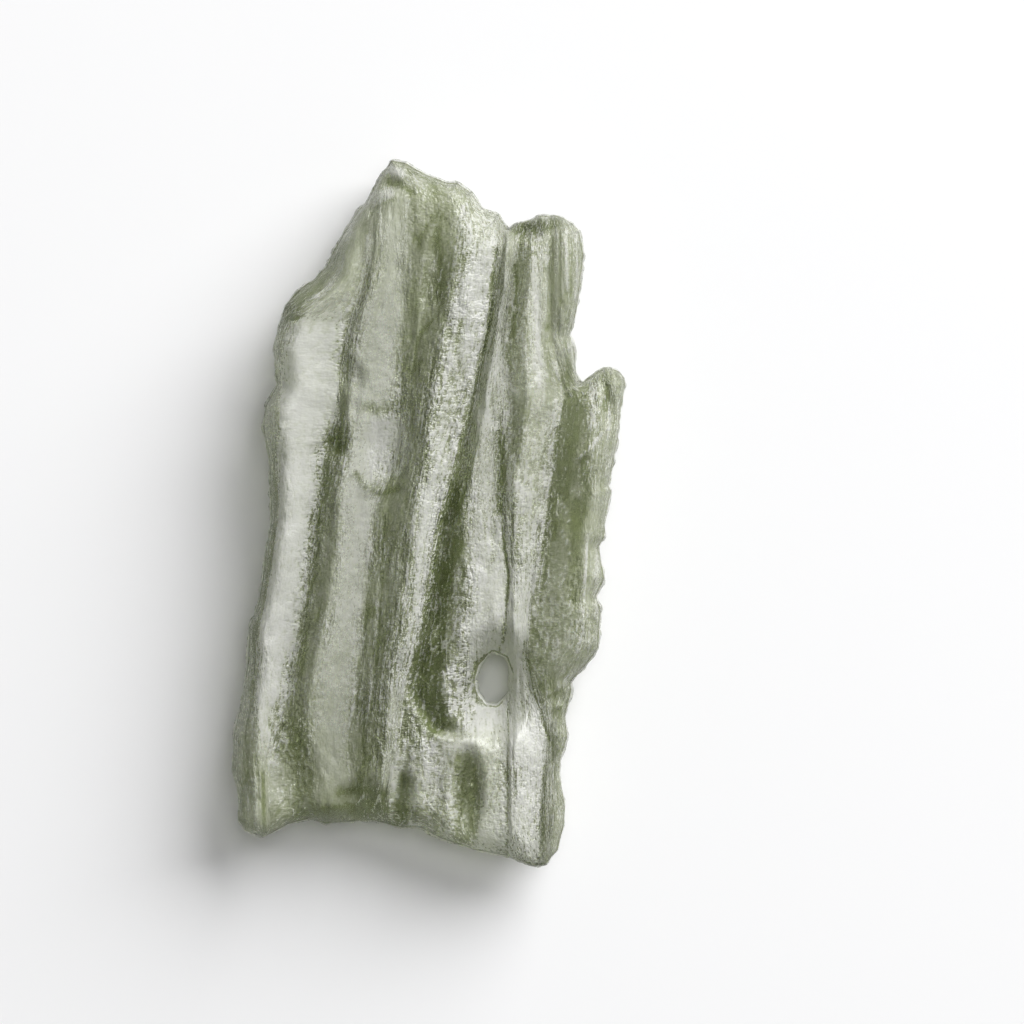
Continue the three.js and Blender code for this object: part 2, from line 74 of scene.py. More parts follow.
# What the mesh carries for its material. A UV map spans so many millimetres, and the flutes'
# own has the stone's middle in its middle.
TONE = "tone"
FLUTE_MAP = "flutes"
EDGE_MAP = "edges"
MAP_SPAN = 40.0
MAP_MIDDLE = 0.5

# The grain's inputs, detail and mean of its Noise Textures, its gain and the width of its lines
GRAIN_INPUTS = ("Fineness", "Stretch", "Speck")
NOISE_DETAIL = 1.0
NOISE_MIDDLE = 0.5
GRAIN_GAIN = 4.0
LINE_WIDTH = 0.02

# Places of a Mix node's sockets: the factor, two numbers or two colours, and the mixed colour
MIX_FACTOR = 0
MIX_NUMBERS = (2, 3)
MIX_COLOURS = (6, 7)
MIX_COLOUR = 2

# The rim seen from above, from the pointed end and round by the right
RIM: tuple[Point, ...] = (
    (-1.95, 17.75), (-1.15, 17.6), (-0.65, 17.3), (-0.1, 17.0), (0.95, 16.6), (1.4, 16.6),
    (2.15, 16.1), (2.75, 15.3), (3.15, 15.1), (3.55, 15.0), (3.95, 14.3), (4.25, 14.55),
    (5.05, 14.75), (5.4, 14.95), (6.25, 15.0), (6.75, 14.85), (7.2, 14.55), (7.6, 14.1),
    (7.8, 12.9), (7.6, 11.05), (7.45, 10.05), (7.1, 8.9), (7.35, 8.3), (7.45, 7.0),
    (7.6, 6.65), (8.25, 7.1), (8.65, 7.35), (9.1, 7.35), (9.55, 7.15), (9.85, 6.8),
    (9.9, 6.3), (9.65, 5.25), (9.6, 4.15), (9.3, 2.5), (9.05, 1.4), (9.2, 1.1),
    (8.9, -0.2), (8.8, -1.35), (8.55, -1.75), (8.85, -3.3), (8.45, -4.2), (8.65, -4.75),
    (8.55, -6.8), (8.05, -7.5), (7.15, -8.5), (7.2, -8.9), (6.9, -10.15), (7.0, -11.25),
    (6.65, -12.35), (6.6, -13.1), (6.9, -14.65), (6.85, -15.6), (6.5, -16.95), (5.85, -17.75),
    (5.1, -17.75), (3.8, -17.3), (2.25, -17.0), (0.6, -16.45), (-0.45, -15.9), (-1.45, -15.9),
    (-2.75, -15.55), (-3.95, -15.6), (-5.2, -15.7), (-6.0, -15.45), (-7.0, -15.7), (-7.9, -16.2),
    (-8.35, -16.35), (-9.25, -16.0), (-9.65, -15.4), (-9.55, -14.35), (-9.95, -12.95), (-9.9, -11.25),
    (-9.5, -9.5), (-9.15, -7.35), (-9.1, -5.75), (-8.6, -4.4), (-8.35, -2.85), (-8.25, -1.7),
    (-8.0, -0.35), (-8.05, 1.1), (-8.1, 2.6), (-8.4, 4.25), (-8.3, 5.35), (-7.7, 6.4),
    (-7.9, 8.15), (-7.55, 9.55), (-7.3, 10.4), (-6.55, 11.25), (-5.85, 11.75), (-5.2, 12.4),
    (-4.85, 13.2), (-4.25, 14.25), (-3.6, 15.25), (-3.25, 15.55), (-2.65, 16.7),
)

# The window, where the floor of the pocket has broken through
WINDOW: tuple[Point, ...] = (
    (3.2, -7.15), (3.7, -7.4), (3.95, -8.1), (3.85, -8.9), (3.3, -9.5), (2.9, -9.45),
    (2.55, -9.0), (2.45, -8.4), (2.6, -7.8), (2.95, -7.35),
)

# Crests and valleys of the front face, from left to right, each from the pointed end down
FRONT_LINES: dict[str, Line] = {
    "left crest": (
        (-3.2, 15.4, 4.8), (-3.85, 14.15, 4.9), (-4.1, 12.9, 4.95), (-4.45, 11.55, 5.0),
        (-5.1, 10.75, 5.1), (-6.05, 10.1, 5.2), (-6.9, 9.4, 5.25), (-7.25, 8.4, 5.3),
        (-7.45, 6.0, 5.3), (-7.5, 0.65, 5.2), (-7.7, -2.35, 5.1), (-8.1, -4.6, 5.0),
        (-8.35, -6.35, 4.9), (-8.45, -9.35, 4.8), (-8.4, -12.35, 4.5), (-8.15, -16.1, 4.3),
    ),
    "left valley": (
        (-2.8, 14.9, 4.75), (-2.95, 13.15, 4.75), (-3.45, 11.15, 4.65), (-3.95, 9.65, 4.5),
        (-4.3, 8.15, 4.35), (-4.55, 6.15, 4.2), (-4.85, 4.15, 3.9), (-5.25, 2.65, 3.75),
        (-5.55, 0.65, 3.75), (-5.9, -1.35, 3.75), (-6.25, -3.85, 3.75), (-6.55, -5.85, 3.7),
        (-6.95, -7.6, 3.7), (-7.1, -9.35, 3.7), (-7.45, -10.85, 3.7), (-7.85, -12.35, 3.75),
        (-7.9, -16.1, 4.0),
    ),
    "panel left": (
        (-2.35, 14.9, 4.9), (-2.45, 13.15, 4.95), (-2.75, 11.15, 4.95), (-3.25, 9.65, 4.85),
        (-3.65, 8.15, 4.75), (-3.85, 5.65, 4.65), (-3.95, 3.65, 4.65), (-4.2, 2.15, 4.7),
        (-4.55, 0.65, 4.75), (-4.75, -1.35, 4.75), (-4.95, -3.85, 4.75), (-5.35, -6.35, 4.7),
        (-5.85, -8.35, 4.6), (-5.95, -10.35, 4.35), (-5.85, -12.35, 4.15), (-5.7, -15.35, 4.1),
    ),
    "panel right": (
        (-1.2, 15.15, 4.7), (-1.1, 12.65, 4.7), (-1.25, 9.65, 4.6), (-1.45, 7.15, 4.5),
        (-1.6, 3.65, 4.45), (-2.05, 1.65, 4.5), (-2.65, 0.15, 4.5), (-2.85, -1.85, 4.5),
        (-3.05, -4.35, 4.45), (-3.25, -6.85, 4.4), (-3.55, -9.35, 4.25), (-3.95, -11.35, 4.0),
        (-3.95, -14.35, 3.8),
    ),
    "middle crest": (
        (1.95, 14.9, 5.3), (1.65, 13.15, 5.5), (1.3, 11.15, 5.6), (0.9, 9.15, 5.7),
        (0.65, 7.65, 5.75), (0.25, 5.65, 5.8), (-0.15, 3.15, 5.8), (-0.55, 0.65, 5.8),
        (-0.85, -1.35, 5.75), (-1.05, -3.35, 5.7), (-1.35, -5.35, 5.6), (-1.65, -6.85, 5.5),
        (-1.95, -8.35, 5.3), (-2.05, -10.35, 5.0), (-2.15, -12.35, 4.7), (-2.4, -14.35, 4.2),
    ),
    "middle ledge": (
        (3.35, 13.65, 4.95), (3.2, 12.15, 5.0), (3.0, 10.65, 5.05), (2.75, 9.15, 5.1),
        (2.4, 7.65, 5.1), (2.15, 6.15, 5.1), (1.85, 4.65, 5.1), (1.55, 3.65, 5.1),
        (1.0, 1.65, 5.15), (0.75, 0.65, 5.2), (0.35, -1.1, 5.2), (0.15, -2.35, 5.15),
        (-0.1, -3.85, 5.1), (-0.4, -5.35, 5.0), (-0.7, -6.85, 4.9), (-1.05, -8.35, 4.75),
        (-1.3, -9.85, 4.5), (-1.55, -11.85, 4.3), (-1.85, -13.35, 4.1), (-2.05, -14.85, 3.9),
    ),
    "middle furrow": (
        (3.6, 13.15, 4.6), (3.4, 11.65, 4.5), (3.2, 10.4, 4.4), (2.95, 9.15, 4.25),
        (2.65, 7.65, 4.15), (2.4, 6.15, 4.05), (2.15, 4.9, 3.95), (1.85, 3.4, 3.75),
        (1.5, 1.65, 3.8), (1.25, 0.65, 4.1), (0.9, -1.35, 4.35), (0.65, -2.85, 4.4),
        (0.45, -4.35, 4.4), (0.15, -6.35, 4.4), (-0.2, -8.35, 4.4), (-0.3, -9.85, 4.3),
        (-0.35, -11.85, 4.25), (-0.4, -13.35, 4.2), (-0.5, -15.5, 4.1),
    ),
    "pocket bank": (
        (3.85, 13.4, 4.85), (3.65, 11.15, 4.9), (3.45, 9.65, 4.9), (3.15, 8.15, 4.85),
        (2.85, 6.15, 4.75), (2.6, 4.65, 4.65), (2.4, 3.15, 4.6), (2.15, 1.65, 4.55),
        (1.95, -0.35, 4.5), (1.95, -2.35, 4.45), (1.9, -4.35, 4.4), (1.8, -6.35, 4.35),
        (1.7, -8.35, 4.3), (1.6, -9.85, 4.25), (1.6, -11.6, 4.2), (1.3, -13.35, 4.15),
        (1.3, -16.2, 4.0),
    ),
    "seam valley": (
        (4.3, 13.4, 4.4), (4.15, 11.65, 4.25), (3.95, 10.15, 4.1), (3.8, 8.65, 4.1),
        (3.8, 6.65, 4.25), (3.8, 4.65, 4.25), (3.6, 3.15, 4.1), (3.55, 1.65, 4.0),
        (3.6, 0.15, 3.95), (3.7, -1.35, 3.9), (3.85, -3.1, 3.85), (3.85, -4.85, 3.8),
        (3.8, -6.35, 3.7), (3.75, -8.35, 3.6), (3.75, -9.85, 3.7), (3.8, -11.0, 3.85),
        (3.85, -12.35, 4.0), (3.9, -14.35, 4.05), (3.9, -17.25, 4.0),
    ),
    "seam crest": (
        (5.05, 13.4, 4.95), (5.0, 11.65, 5.05), (4.9, 10.15, 5.05), (4.75, 8.15, 5.0),
        (4.75, 5.65, 5.0), (4.55, 3.65, 4.9), (4.25, 1.65, 4.7), (4.15, -0.35, 4.3),
        (4.25, -2.35, 4.0), (4.3, -4.35, 3.9), (4.3, -6.85, 3.75), (4.3, -9.35, 3.8),
        (4.25, -11.85, 4.1), (4.3, -14.35, 4.15), (4.4, -17.25, 4.1),
    ),
    "crease": (
        (6.0, 13.4, 4.55), (6.0, 10.65, 4.5), (6.1, 8.65, 4.4), (6.45, 7.15, 4.15),
        (6.75, 6.05, 3.85), (6.65, 5.15, 3.7), (6.45, 4.15, 3.6), (6.3, 3.15, 3.55),
        (6.15, 1.9, 3.5), (6.0, 0.65, 3.5), (5.85, -0.35, 3.5), (5.6, -1.85, 3.45),
        (5.35, -3.35, 3.4), (5.05, -4.85, 3.3), (4.95, -6.85, 3.2), (5.05, -8.1, 3.2),
        (5.3, -9.1, 3.2), (5.6, -10.1, 3.2), (5.75, -11.1, 3.25), (5.8, -12.35, 3.3),
        (5.6, -13.85, 3.35), (5.5, -15.35, 3.35), (5.45, -16.85, 3.3),
    ),
    "right crest": (
        (6.7, 13.4, 4.95), (6.75, 11.15, 4.95), (6.75, 9.15, 4.8), (7.1, 7.4, 4.4),
        (7.7, 6.3, 4.4), (8.0, 5.4, 4.6), (8.05, 4.65, 4.65), (7.95, 3.15, 4.6),
        (7.85, 1.65, 4.5), (7.9, -0.35, 4.45), (7.85, -1.85, 4.4), (7.7, -4.35, 4.3),
        (7.55, -6.35, 4.2), (7.2, -7.6, 4.1), (6.8, -9.1, 3.95), (6.45, -10.1, 3.9),
        (6.4, -12.35, 3.85), (6.35, -14.35, 3.85), (6.2, -16.85, 3.7),
    ),
}

# Grooves and ribs of the back, from left to right. What would lie below zero is worn flat.
BACK_LINES: dict[str, Line] = {
    "left groove": (
        (-4.2, 13.5, 1.0), (-5.6, 6.0, 0.9), (-6.3, -2.0, 0.75), (-7.2, -9.0, 0.9), (-7.8, -15.5, 1.0),
    ),
    "left rib": (
        (-2.6, 14.5, 0.35), (-3.7, 8.0, -0.2), (-4.2, 2.5, 0.1), (-4.8, -4.0, 0.2), (-5.6, -9.5, -0.3),
        (-6.3, -15.0, 0.3),
    ),
    "middle groove": (
        (-0.6, 15.0, 0.8), (-1.9, 7.0, 0.9), (-2.3, -1.0, 1.1), (-3.2, -9.0, 0.8), (-4.2, -15.0, 0.7),
    ),
    "middle rib": (
        (1.4, 14.8, 0.3), (0.7, 10.0, -0.3), (0.1, 4.5, 0.15), (-0.4, -1.0, -0.1), (-0.8, -6.5, 0.2),
        (-1.4, -12.0, -0.3), (-1.8, -15.0, 0.2),
    ),
    "window groove": (
        (3.4, 14.0, 0.8), (3.0, 7.0, 0.9), (2.6, -1.0, 1.0), (2.8, -8.4, 0.45), (1.4, -15.8, 0.8),
    ),
    "right rib": (
        (5.2, 14.0, 0.35), (5.2, 8.5, 0.1), (5.3, 3.0, -0.35), (5.2, -3.5, 0.1), (5.0, -9.0, 0.0),
        (4.7, -12.5, -0.5), (4.5, -16.0, 0.2),
    ),
    "right groove": (
        (6.9, 13.5, 0.9), (7.6, 6.0, 0.8), (7.3, -1.0, 0.9), (6.9, -8.0, 1.0), (6.2, -16.0, 0.9),
    ),
}

# The pocket: its steep brink on the left and round the foot, and its bank up the right side
POCKET_BRINK: tuple[Point, ...] = (
    (1.3, 2.4), (0.95, 1.2), (0.5, -0.5), (0.2, -2.35), (-0.1, -3.85), (-0.4, -5.35),
    (-0.75, -6.85), (-1.15, -8.35), (-1.1, -9.1), (-0.7, -9.85), (-0.25, -10.45), (0.05, -11.0),
    (0.65, -11.25), (1.45, -11.4), (2.3, -11.25),
)
POCKET_BANK: tuple[Point, ...] = (
    (2.3, -11.25), (1.85, -10.2), (1.7, -8.5), (1.75, -6.5), (1.8, -4.2), (1.85, -2.2),
    (1.75, -0.4), (1.5, 1.2), (1.3, 2.4),
)


@dataclass(frozen=True)
class Spot:
    """A dent or lump: its middle, half lengths across and along, turn in degrees and lift."""

    at: Point
    half: Point
    turn: float
    lift: float


SPOTS: tuple[Spot, ...] = (
    Spot((-2.3, 3.4), (1.25, 1.9), -8, -0.2),  # oval dish on the panel
    Spot((-2.6, 1.3), (1.3, 0.7), 12, 0.1),  # its raised lower lip
    Spot((-4.55, 3.4), (0.7, 1.1), -14, -0.6),  # pit in the left valley
    Spot((-3.8, 6.8), (0.8, 1.2), 10, -0.3),  # shallow dent above the pit
    Spot((4.9, 14.1), (1.0, 0.9), 0, -1.1),  # bowl at the head of the right lobe
    Spot((0.3, 11.6), (0.9, 3.4), -9, -0.45),  # trough left of the middle crest
    Spot((3.15, -8.6), (2.6, 3.3), 0, -2.4),  # hollow round the window
    Spot((1.8, -9.9), (1.1, 1.7), 0, -0.6),  # low bank between the pocket and the hollow
    Spot((0.1, -6.4), (0.35, 1.1), -22, 0.6),  # small curl on the pocket floor
    Spot((1.9, -14.2), (0.95, 3.0), -2, -1.35),  # furrow below the pocket
    Spot((-1.35, -14.6), (0.65, 2.2), -6, -1.15),  # wedge beside it
    Spot((-6.6, -13.6), (1.5, 2.6), -4, -0.55),  # broad hollow at the lower left
    Spot((-3.3, -14.4), (1.6, 1.4), 0, -0.6),  # dark dip by the lower rim
    Spot((-1.9, 16.4), (0.9, 0.6), 20, -0.5),  # rough break at the point
    Spot((8.9, 5.2), (0.45, 1.7), 8, -0.45),  # groove down the ear
    Spot((7.7, 2.9), (0.9, 0.35), 38, 0.35),  # slanting fold across the ear
    Spot((7.2, 0.6), (0.9, 2.2), 0, -0.35),  # hollow under the fold
)


@dataclass(frozen=True)
class Break:
    """A break that slopes to the rim, away on the left of its brink."""

    brink: tuple[Point, ...]
    slope: float


BREAKS: tuple[Break, ...] = (
    Break((
        (-7.6, 8.6), (-6.9, 9.4), (-6.05, 10.1), (-5.1, 10.75), (-4.45, 11.55), (-4.1, 12.9),
        (-3.9, 13.8),
    ), 0.95),
    Break(((-3.6, 15.0), (-2.6, 15.6), (-1.4, 15.7), (-0.2, 16.2), (1.2, 16.0)), 0.6),
    Break(((-0.6, -15.2), (-1.9, -14.9), (-3.4, -14.6), (-4.6, -14.9), (-6.2, -15.3)), 0.9),
    Break(((8.5, -6.6), (7.6, -7.4), (6.8, -8.2), (6.1, -9.2)), 0.8),
)


@dataclass(frozen=True)
class Mark:
    """A small form or stain that the etching left along a path.

    lift is its height in millimetres, below zero for a furrow. frost makes the surface whiter
    and rougher, and depth makes it a clearer and darker green; each runs from about -1 to 1.
    crisp is 0 for a mark with a round section and near 1 for a flat one with hard sides.
    """

    path: tuple[Point, ...]
    half_width: float
    lift: float = 0.0
    frost: float = 0.0
    depth: float = 0.0
    crisp: float = 0.0


MARKS: tuple[Mark, ...] = (
    # The break at the upper left: clear green, darkest at its foot, partly by painted shade where it faces
    # away from the light, with chips
    Mark(((-4.6, 13.3), (-5.2, 12.1), (-5.9, 11.3), (-6.6, 10.6), (-7.1, 10.0)), 0.75, 0.0, -0.6, 0.6, 0.5),
    Mark(((-5.9, 10.9), (-6.6, 10.3), (-7.1, 9.8)), 0.35, 0.0, -0.3, 0.4, 0.3),
    Mark(((-6.1, 11.0), (-6.45, 10.6)), 0.3, -0.12, -0.2, 0.5),
    # A bright chip: a low ridge with a painted highlight on it
    Mark(((-6.9, 10.5), (-6.5, 9.9)), 0.22, 0.12, 0.9, -0.8),
    Mark(((-7.05, 9.75), (-6.7, 9.5), (-6.3, 9.75)), 0.1, -0.1, -0.4, 0.9),
    # The point: a cream chip over dark ones, and a pale facet with a curved edge
    Mark(((-2.1, 17.2), (-1.4, 16.95)), 0.42, 0.05, 0.6, -0.5, 0.4),
    Mark(((-2.0, 16.5), (-1.4, 16.35), (-0.9, 15.9)), 0.3, -0.14, -0.3, 0.75),
    Mark(((-1.0, 17.1), (-0.3, 16.75), (0.4, 16.5)), 0.2, -0.05, -0.2, 0.5),
    Mark(((-2.8, 15.6), (-2.0, 15.9)), 0.42, 0.0, 0.35, -0.3, 0.5),
    Mark(((-2.9, 14.8), (-2.45, 15.3), (-1.6, 15.6)), 0.12, -0.05, -0.2, 0.35),
    Mark(((-3.0, 13.8), (-3.05, 12.4)), 0.14, 0.03, 0.4, -0.2),
    # The ledge along the left rim, and the strips at its foot
    Mark((
        (-7.75, 3.4), (-7.55, 0.6), (-7.75, -2.0), (-8.2, -4.4), (-8.65, -6.4), (-8.75, -9.0),
        (-9.1, -11.2), (-9.0, -13.2),
    ), 0.13, -0.1, -0.35, 0.5),
    Mark(((-9.2, -13.5), (-9.25, -15.6)), 0.2, -0.12, -0.3, 0.5),
    Mark(((-8.65, -13.2), (-8.6, -15.9)), 0.16, 0.12, 0.4, -0.3),
    Mark(((-8.25, -13.0), (-8.2, -15.9)), 0.14, -0.12, -0.3, 0.5),
    Mark(((-8.0, -10.3), (-7.7, -11.2), (-7.6, -12.0)), 0.12, -0.1, -0.3, 0.6),
    Mark(((-7.25, -10.6), (-7.6, -11.3)), 0.12, -0.08, -0.3, 0.6),
    Mark(((-6.15, -4.8), (-6.15, -4.85)), 0.12, -0.1, -0.3, 1.0),
    # The left furrow: a dark pit, then a clear green streak that widens towards the foot
    Mark(((-4.75, 3.55), (-4.35, 3.3)), 0.5, -0.05, -0.6, 0.8),
    Mark(((-4.2, 8.3), (-4.35, 6.4), (-4.3, 4.6)), 0.28, -0.03, -0.25, 0.3),
    Mark(((-5.0, 2.0), (-5.3, 0.2), (-5.6, -2.2), (-6.0, -5.0), (-6.4, -8.0)), 0.3, -0.05, -0.3, 0.35),
    Mark(((-6.6, -10.8), (-6.4, -13.4)), 1.1, 0.0, -0.3, 0.35),
    # The dish on the panel: a light oval, a darker ring below and a green patch above, painted reflection and
    # painted shade in place of the shallow dish's own shading
    Mark(((-2.35, 4.0), (-2.35, 2.7)), 1.1, 0.0, 0.4, -0.3, 0.3),
    Mark(((-1.65, 4.6), (-1.5, 3.4), (-1.75, 2.4)), 0.75, 0.0, 0.4, -0.55, 0.2),
    Mark(((-3.6, 1.9), (-3.1, 1.25), (-2.3, 1.0), (-1.5, 1.2)), 0.28, 0.03, -0.35, 0.5),
    Mark(((-3.1, 5.2), (-1.8, 5.0)), 0.45, -0.05, -0.35, 0.5),
    # Thin lines down the green right of the panel
    Mark(((-2.55, -4.35), (-2.75, -7.0), (-3.05, -10.35)), 0.1, 0.06, 0.5, -0.5),
    Mark(((-1.95, -5.35), (-2.2, -7.3), (-2.45, -9.35)), 0.1, 0.06, 0.5, -0.5),
    Mark(((-2.2, -0.3), (-2.35, -3.4), (-2.5, -6.3), (-2.8, -9.8)), 0.13, -0.08, -0.3, 0.4),
    Mark(((-3.2, -9.2), (-3.3, -12.6)), 0.12, -0.08, -0.2, 0.5),
    # Trough and crest at the head of the middle ridge
    Mark(((0.4, 14.0), (0.6, 12.2), (0.5, 10.6)), 0.45, -0.05, -0.4, 0.4),
    Mark(((1.75, 15.2), (1.7, 14.4)), 0.22, 0.06, 0.8, -0.6),
    Mark(((1.9, 10.4), (2.1, 11.6), (2.4, 12.6)), 0.4, 0.03, 0.35, -0.3),
    Mark(((-0.65, -3.0), (-0.8, -4.0), (-0.9, -4.9)), 0.08, -0.06, -0.4, 0.8),
    Mark(((1.15, 6.9), (1.5, 5.2), (0.9, 3.2)), 0.14, -0.07, -0.5, 0.35),
    Mark(((1.6, 9.5), (1.3, 8.0), (1.7, 6.7)), 0.16, -0.08, -0.5, 0.35),
    # The thin dark furrow beside the middle ledge, darkened also by painted shadow of the ledge's step
    Mark((
        (3.4, 13.05), (3.25, 12.15), (3.1, 10.9), (3.05, 9.65), (2.55, 7.15), (2.15, 5.65),
        (1.85, 4.15), (1.55, 3.4),
    ), 0.16, -0.12, -0.6, 0.7),
    # The pocket: dark floor, partly clear green glass and partly painted shade in the hollow, cream foot,
    # curl and broken edge of the window
    Mark(((1.6, 1.2), (1.45, -0.8), (1.3, -2.2)), 0.5, 0.0, -0.6, 0.5),
    Mark(((0.75, -2.4), (0.55, -4.6), (0.35, -6.6)), 0.65, 0.0, -0.7, 0.6, 0.2),
    Mark(((0.0, -7.2), (-0.15, -8.8), (0.4, -10.4)), 0.95, 0.0, -0.8, 0.75, 0.4),
    Mark(((1.35, -8.0), (1.5, -9.5), (2.0, -10.3), (3.0, -10.2)), 0.8, 0.0, 0.8, -0.8, 0.2),
    # Painted light: whitens the upper slope of the hollow above the window, which faces away from the light
    Mark(((3.1, -6.2), (2.9, -6.8)), 0.8, 0.0, 0.5, -0.4),
    Mark(((0.5, -5.6), (0.1, -6.1), (-0.05, -6.8), (0.25, -7.1), (0.55, -6.5)), 0.15, 0.16, 1.2, -1.2),
    Mark(((3.0, -6.95), (2.4, -7.5), (2.1, -8.4), (2.3, -9.3), (2.8, -9.75)), 0.2, -0.1, -0.6, 0.9),
    Mark(((1.35, -4.2), (1.5, -5.6), (1.75, -6.9)), 0.3, 0.06, 0.4, -0.3),
    # Crack and dashes down the seam
    Mark(
        ((3.65, -0.8), (3.75, -1.85), (3.95, -3.1), (3.85, -4.35), (3.7, -6.35), (3.45, -7.0)),
        0.12, -0.14, -0.7, 0.9,
    ),
    Mark(((3.55, 3.9), (3.6, 1.9), (3.55, 0.0)), 0.32, -0.06, -0.5, 0.6),
    Mark(((4.3, 12.2), (4.35, 10.6), (4.2, 8.8)), 0.24, -0.1, -0.7, 0.8),
    Mark(((3.9, -9.5), (3.92, -13.2), (3.9, -17.2)), 0.07, -0.05, -0.5, 0.6),
    # The right lobe: dark bowl, olive band, two bright stripes and the flap at the rim
    Mark(((4.3, 14.3), (5.3, 14.1), (6.2, 14.4)), 0.5, -0.1, -0.6, 0.8, 0.2),
    Mark(((4.6, 14.5), (5.1, 13.8)), 0.09, 0.06, 0.9, -0.9),
    Mark(((5.3, 14.4), (5.6, 13.9)), 0.08, 0.06, 0.9, -0.9),
    Mark(((6.05, 13.4), (6.1, 11.4), (5.9, 9.2)), 0.26, -0.05, -0.4, 0.45),
    Mark(((6.8, 14.2), (6.82, 12.6), (6.85, 11.1)), 0.1, 0.05, 0.6, -0.4),
    Mark(((7.3, 13.8), (7.32, 12.2), (7.25, 10.6)), 0.1, 0.05, 0.6, -0.4),
    Mark(((7.06, 14.1), (7.08, 12.4), (7.05, 10.8)), 0.08, -0.06, -0.4, 0.5),
    Mark(((6.5, 14.1), (6.5, 12.2), (6.55, 10.2)), 0.08, -0.06, -0.4, 0.4),
    Mark(((7.2, 9.1), (7.25, 7.6), (7.35, 6.2)), 0.2, 0.08, 0.8, -0.6),
    Mark(((6.85, 9.2), (6.85, 7.7), (6.95, 6.4)), 0.18, -0.08, -0.4, 0.4),
    Mark(((5.2, 12.6), (5.35, 9.4), (5.5, 6.4)), 0.3, 0.0, 0.3, -0.2),
    # The ear: crease, clear green below it, fold, thin lines and chips
    Mark(
        ((6.95, 5.9), (6.65, 5.15), (6.45, 4.15), (6.15, 2.15), (5.85, -0.35), (5.6, -2.0)),
        0.11, -0.1, -0.4, 0.5,
    ),
    Mark(((7.2, 5.4), (7.15, 4.2), (6.9, 2.6), (6.6, 1.0)), 0.42, 0.0, -0.6, 0.6, 0.3),
    Mark(((7.75, 2.6), (7.8, 1.2), (7.75, -0.1)), 0.35, -0.05, -0.4, 0.5),
    Mark(((7.3, 0.4), (7.3, -2.0), (7.2, -4.3)), 0.55, -0.03, -0.5, 0.45),
    Mark(((7.4, 2.7), (8.0, 3.2), (8.6, 3.95)), 0.13, 0.1, 0.9, -0.6),
    Mark(((8.1, 6.4), (8.2, 5.3), (8.1, 4.3)), 0.38, 0.03, 0.6, -0.5),
    Mark(((8.85, 6.9), (8.85, 6.0), (8.8, 5.2)), 0.3, -0.06, -0.4, 0.6),
    Mark(((8.95, 5.6), (8.9, 4.6), (8.85, 3.6)), 0.08, 0.08, 0.8, -0.6),
    Mark(((6.55, 0.4), (6.8, 0.1), (6.95, -0.45)), 0.08, 0.08, 0.8, -0.6),
    Mark(((6.6, -0.95), (6.85, -1.4), (6.95, -2.1)), 0.08, 0.08, 0.8, -0.6),
    Mark(((7.8, -0.1), (7.85, -2.35), (7.65, -4.35), (7.6, -5.7), (7.4, -7.3)), 0.09, 0.1, 0.9, -0.7),
    Mark(((8.35, -2.2), (8.3, -3.8), (8.4, -5.3)), 0.25, 0.06, 0.6, -0.4),
    Mark(((8.15, -6.3), (7.95, -6.85)), 0.09, 0.08, 0.9, -0.6),
    Mark(((6.4, -6.35), (6.2, -7.35)), 0.09, 0.06, 0.7, -0.5),
    Mark(((7.2, -8.4), (6.65, -8.85), (5.95, -9.2)), 0.1, -0.08, -0.4, 0.6),
    # The edge of the front sheet, the wedge beside it and the strip at its foot
    Mark((
        (4.95, -7.4), (5.15, -8.6), (5.35, -9.35), (5.55, -9.85), (5.8, -10.85), (6.0, -11.4),
    ), 0.1, -0.12, -0.5, 0.7),
    Mark(((5.5, -5.6), (5.6, -7.2), (5.9, -8.6)), 0.5, 0.0, -0.1, 0.3, 0.3),
    Mark(((6.15, -11.1), (6.15, -12.6)), 0.08, -0.06, -0.4, 0.6),
    Mark(((6.42, -11.1), (6.4, -12.6)), 0.08, -0.06, -0.4, 0.6),
    Mark(((5.75, -12.0), (5.65, -14.4), (5.6, -16.6)), 0.12, -0.08, -0.4, 0.5),
    Mark(((5.3, -16.9), (5.6, -17.3), (5.5, -17.55), (5.25, -17.4)), 0.1, 0.1, 0.6, 0.0),
    # Below the pocket: green furrow with a round head, wedge and lumps
    Mark(((1.75, -12.4), (1.9, -14.0), (1.85, -16.2)), 0.72, 0.0, -0.7, 0.6, 0.3),
    Mark(((-1.3, -13.2), (-1.35, -15.2)), 0.38, 0.0, -0.6, 0.7, 0.4),
    Mark(((-0.93, -12.7), (-0.95, -15.6)), 0.08, 0.08, 0.6, -0.5),
    Mark(((0.65, -15.3), (0.75, -16.0)), 0.35, 0.1, 0.3, -0.1),
    Mark(((0.05, -11.6), (0.1, -14.4)), 0.6, 0.0, 0.35, -0.3),
    Mark(((-6.4, -15.1), (-4.9, -15.0), (-3.0, -14.7), (-0.8, -15.1)), 0.6, -0.05, -0.35, 0.6, 0.2),
    Mark(((-4.4, -14.0), (-3.2, -13.8), (-2.2, -14.1)), 0.5, -0.05, -0.3, 0.5),
    Mark(((-3.6, -14.6), (-3.2, -14.1)), 0.1, 0.08, 0.8, -0.8),
    Mark(((-2.7, -14.8), (-2.5, -14.2)), 0.09, 0.08, 0.8, -0.8),
)


@dataclass(frozen=True)
class Border:
    """How the tone changes at a line: over how many millimetres, and how ragged, from 0 to 1."""

    width: float = 0.8
    ragged: float = 1.0


# Every other line has a plain Border
BORDERS: dict[str, Border] = {
    "left crest": Border(0.22, 0.35),
    "left valley": Border(1.2, 0.9),
    "panel left": Border(1.0, 0.8),
    "middle ledge": Border(0.3, 0.2),
    "middle furrow": Border(0.45, 0.5),
    "pocket bank": Border(0.6, 0.9),
    "crease": Border(0.3, 0.3),
    "right crest": Border(0.45, 0.5),
}


